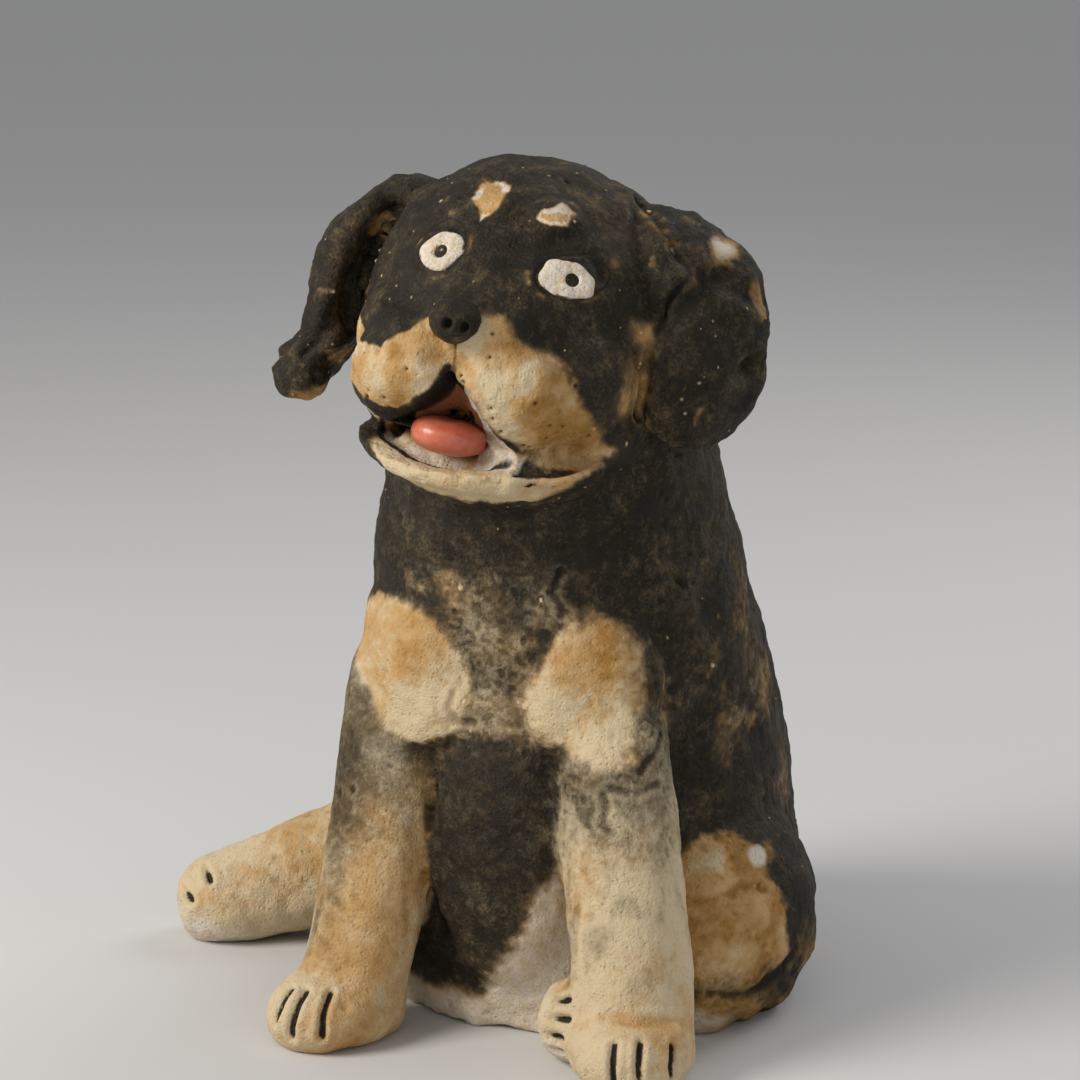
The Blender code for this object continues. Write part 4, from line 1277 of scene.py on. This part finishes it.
def clay_material():
    """Bare clay under thin washes, whose depth changes with the grain and the lumps of the clay."""
    n = Nodes("fired_clay")
    broad, middle, fine = n.noise(13, 4), n.noise(3.6, 5, 0.65), n.noise(0.9, 3, 0.6)
    streaks = n.noise(3.2, 4, 0.6, (1, 1, 0.25))
    relief = n.mask("relief")

    def shifted(value, source, amount):
        """A value moved up and down by noise of this whole range."""
        return n.math("ADD", value, n.math("MULTIPLY", n.math("SUBTRACT", source, 0.5), amount))

    tone = shifted(shifted(n.mask("tan"), broad, 1.1), middle, 1.0)
    tone = n.math("SUBTRACT", tone, n.math("MULTIPLY", relief, 0.06))
    clay = n.mix(n.step(tone, 0.05, 0.75), CREAM, BUFF)
    clay = n.mix(n.step(tone, 0.65, 1.3), clay, OCHRE)
    clay = n.mix(n.step(shifted(tone, fine, 0.8), 1.25, 1.8, 0, 0.8), clay, RUST)

    depth = n.math("ADD", n.math("MULTIPLY", broad, 0.45), n.math("MULTIPLY", middle, 0.55))
    depth = n.math("ADD", depth, n.math("MULTIPLY", relief, 0.012))
    worn = shifted(shifted(depth, fine, 0.25), streaks, 0.2)
    washed = n.mix(n.step(depth, 0.36, 0.5), BLACK, CHARCOAL)
    washed = n.mix(n.step(worn, 0.46, 0.62, 0, 0.8), washed, GREY_BROWN)
    washed = n.mix(n.step(worn, 0.58, 0.72, 0, 0.75), washed, UMBER)

    cover = shifted(shifted(shifted(n.mask("wash"), middle, 0.42), fine, 0.2), streaks, 0.2)
    cover = n.math("SUBTRACT", cover, n.math("MULTIPLY", relief, 0.04))
    base = n.mix(n.step(cover, 0.02, 0.86, 0, 0.985), clay, washed)

    chips = shifted(n.mask("slip"), middle, 0.7)
    pale = n.mix(n.step(shifted(middle, fine, 0.6), 0.35, 0.75), WHITE, CREAM)
    base = n.mix(n.step(chips, 0.25, 0.8, 0, 0.92), base, pale)
    base = n.mix(n.step(n.mask("red"), 0.3, 0.7), base, n.mix(middle, RUST, TERRACOTTA))
    # the dark mask laid on in near black: stains, slits and cracks, and painted shade in creases, holes and
    # the mouth
    stain_and_shade = shifted(n.mask("dark"), fine, 0.3)
    base = n.mix(n.step(stain_and_shade, 0.25, 0.8, 0, 0.96), base, STAIN_AND_SHADE)
    n.link(base, n.shader.inputs["Base Color"])

    n.link(n.step(middle, 0.3, 0.7, 0.52, 0.8), n.shader.inputs["Roughness"])
    n.shader.inputs["Specular IOR Level"].default_value = 0.2
    pits = n.step(n.cells(2.2), 0.05, 0.28)
    height = n.math("ADD", n.math("MULTIPLY", middle, 0.6), n.math("MULTIPLY", fine, 0.3))
    height = n.math("ADD", height, n.math("MULTIPLY", pits, 0.25))
    n.bump(height, 0.9, 0.0012)
    return n.material


def glaze_material():
    """Coral glaze, paler in patches and flecked with terracotta, with a clear gloss."""
    n = Nodes("coral_glaze")
    broad, fine = n.noise(7, 3), n.noise(1.1, 2)
    tone = n.math("ADD", n.math("MULTIPLY", broad, 0.8), n.math("MULTIPLY", fine, 0.2))
    base = n.mix(n.step(tone, 0.35, 0.68), CORAL, PALE_CORAL)
    specks = n.step(n.noise(1.6, 2), 0.66, 0.74, 0, 0.7)
    base = n.mix(specks, base, TERRACOTTA)
    n.link(base, n.shader.inputs["Base Color"])
    n.link(n.step(broad, 0.3, 0.7, 0.3, 0.45), n.shader.inputs["Roughness"])
    n.shader.inputs["Coat Weight"].default_value = 0.35
    n.shader.inputs["Coat Roughness"].default_value = 0.22
    n.bump(tone, 0.5, 0.0008)
    return n.material


def bare_material():
    """The unpainted inside of the body, smoked in the kiln."""
    n = Nodes("bare_clay")
    broad, fine = n.noise(18, 5), n.noise(1.4, 3)
    base = n.mix(n.step(broad, 0.35, 0.65), CREAM, BUFF)
    base = n.mix(n.step(fine, 0.55, 0.75, 0, 0.4), base, OCHRE)
    n.link(base, n.shader.inputs["Base Color"])
    n.link(n.step(fine, 0.3, 0.7, 0.75, 0.92), n.shader.inputs["Roughness"])
    n.bump(n.math("ADD", n.math("MULTIPLY", broad, 1.0), n.math("MULTIPLY", fine, 0.2)), 0.7, 0.0015)
    return n.material


# ---------------------------------------------------------------- studio


def area_light(name, place, target, size, power, colour=(1, 1, 1)):
    light = bpy.data.lights.new(name, "AREA")
    light.shape = "DISK"
    light.size = size
    light.energy = power
    light.color = colour
    obj = bpy.data.objects.new(name, light)
    obj.location = place
    obj.rotation_euler = (Vector(target) - Vector(place)).to_track_quat("-Z", "Y").to_euler()
    bpy.context.scene.collection.objects.link(obj)
    return obj


def studio():
    mesh = bpy.data.meshes.new("studio_floor")
    half = 12
    mesh.from_pydata(
        [(-half, -half, 0), (half, -half, 0), (half, half, 0), (-half, half, 0)], [], [(0, 1, 2, 3)]
    )
    floor = bpy.data.objects.new("studio_floor", mesh)
    floor.location.z = -0.0002
    bpy.context.scene.collection.objects.link(floor)
    paint = bpy.data.materials.new("studio_floor")
    paint.use_nodes = True
    shader = paint.node_tree.nodes["Principled BSDF"]
    shader.inputs["Base Color"].default_value = (0.62, 0.61, 0.60, 1)
    shader.inputs["Roughness"].default_value = 0.9
    mesh.materials.append(paint)

    world = bpy.data.worlds.new("studio")
    bpy.context.scene.world = world
    world.use_nodes = True
    backdrop = world.node_tree.nodes["Background"]
    backdrop.inputs["Color"].default_value = (0.95, 0.97, 1, 1)
    backdrop.inputs["Strength"].default_value = 0.38

    target = from_body((0, 30, 130))
    area_light("key", from_body((-750, 800, 800)), target, 0.7, 14.5, (1, 0.96, 0.9))
    area_light("fill", from_body((900, 900, 300)), target, 1.2, 2.2, (0.93, 0.96, 1))
    area_light("rim", from_body((500, -800, 900)), target, 0.8, 4.5)
    bpy.context.scene.view_settings.view_transform = "Standard"


def add_camera():
    data = bpy.data.cameras.new("camera")
    data.lens = 117.23
    data.sensor_width = 36
    camera = bpy.data.objects.new("camera", data)
    camera.location = ORIGIN + np.array((0.3694, -0.9584, 0.348))
    camera.rotation_euler = (math.radians(78), 0, math.radians(22))
    bpy.context.scene.collection.objects.link(camera)
    bpy.context.scene.camera = camera


PARTS = {
    "face": (
        "head_shell",
        "left_muzzle_pad",
        "right_muzzle_pad",
        "lower_jaw",
        "left_brow_spot",
        "right_brow_spot",
    ),
    "head": ("head_shell", "left_muzzle_pad", "right_muzzle_pad", "lower_jaw", "left_brow_spot",
             "right_brow_spot", "left_ear", "right_ear"),
    "jaw": ("lower_jaw",),
    "body": ("torso_shell", "left_haunch", "right_haunch"),
    "legs": ("left_front_leg", "right_front_leg", "left_front_paw", "right_front_paw"),
    "feet": ("left_hind_foot", "right_hind_leg", "left_front_paw", "right_front_paw"),
    "haunches": ("left_haunch", "right_haunch"),
    "ears": ("left_ear", "right_ear"),
    "left_ear": ("left_ear",),
    "right_ear": ("right_ear",),
}


def build():
    coarse = coarse_skin()
    where = on_head(coarse.points)
    near_head = 1 - soft_step(48, 66, np.linalg.norm(where - (0, 10, 4), axis=1))
    coarse.relax(3, 0.5)
    coarse.relax(7, 0.5 * (1 - near_head))
    shares = shares_of_pieces(coarse)
    cell_piece = shares[coarse.cells].sum(axis=1).argmax(axis=1)
    foot = on_body(coarse.points)[coarse.cells].mean(axis=1)
    under = (foot[:, 2] < OPENING_TOP) & (np.hypot(*(foot[:, :2] / OPENING_RADII).T) < 1)
    cell_piece[under] = OPEN_FOOT
    cell_piece = clean_parting(coarse, cell_piece)
    fine = coarse.halved()
    fine.relax(2, 0.5)
    rest = on_body(fine.points), on_head(fine.points)
    soft_parts = {name: part_shares(coarse, fine, shares, members) for name, members in PARTS.items()}
    part = soft_parts.get

    fine.points = settle_ears(fine.points, part("left_ear"), part("right_ear"))
    roof = sculpt(fine, rest, part)
    head = rest[1]
    muzzle = np.maximum(inside_outline(head, RIGHT_TAN, 0.5), inside_outline(head, LEFT_TAN, 0.5))
    pores = add_pits(fine, muzzle * (head[:, 1] > 35) * (1 - roof) + 1e-9, 30, (0.55, 0.8), 1.0, 7)
    body = part("body") + part("legs") * 0.5 + 0.3 * part("face")
    add_pits(fine, body + 1e-9, 260, (0.6, 1.5), 0.8, 8)
    grains = add_pits(fine, part("head") + 0.5 * part("body") + 1e-9, 260, (0.25, 0.6), -0.45, 9)
    fine.points[:, 2] = np.maximum(fine.points[:, 2], 0)
    masks = paint(fine, rest, part, roof, pores, grains)
    clay = clay_material()
    part_skin(coarse, fine, cell_piece, masks, clay)

    right = eye_piece("right_eye_slip", fine, RIGHT_EYE_PLACE, RIGHT_EYE_RADII, (0.1, -0.7), 3, clay)
    left = eye_piece("left_eye_slip", fine, LEFT_EYE_PLACE, LEFT_EYE_RADII, (1.5, 0.1), 4, clay)
    add_piece("right_eye_slip", face_outward(right), "right_eye")
    add_piece("left_eye_slip", face_outward(left), "left_eye")
    add_piece("nose_clay", face_outward(nose_piece(clay)), "nose")
    add_piece("tongue_glazed", face_outward(tongue_piece(glaze_material())), "tongue")
    add_piece("body_lining", lining_mesh(bare_material()), "torso_shell")


build()
studio()
add_camera()
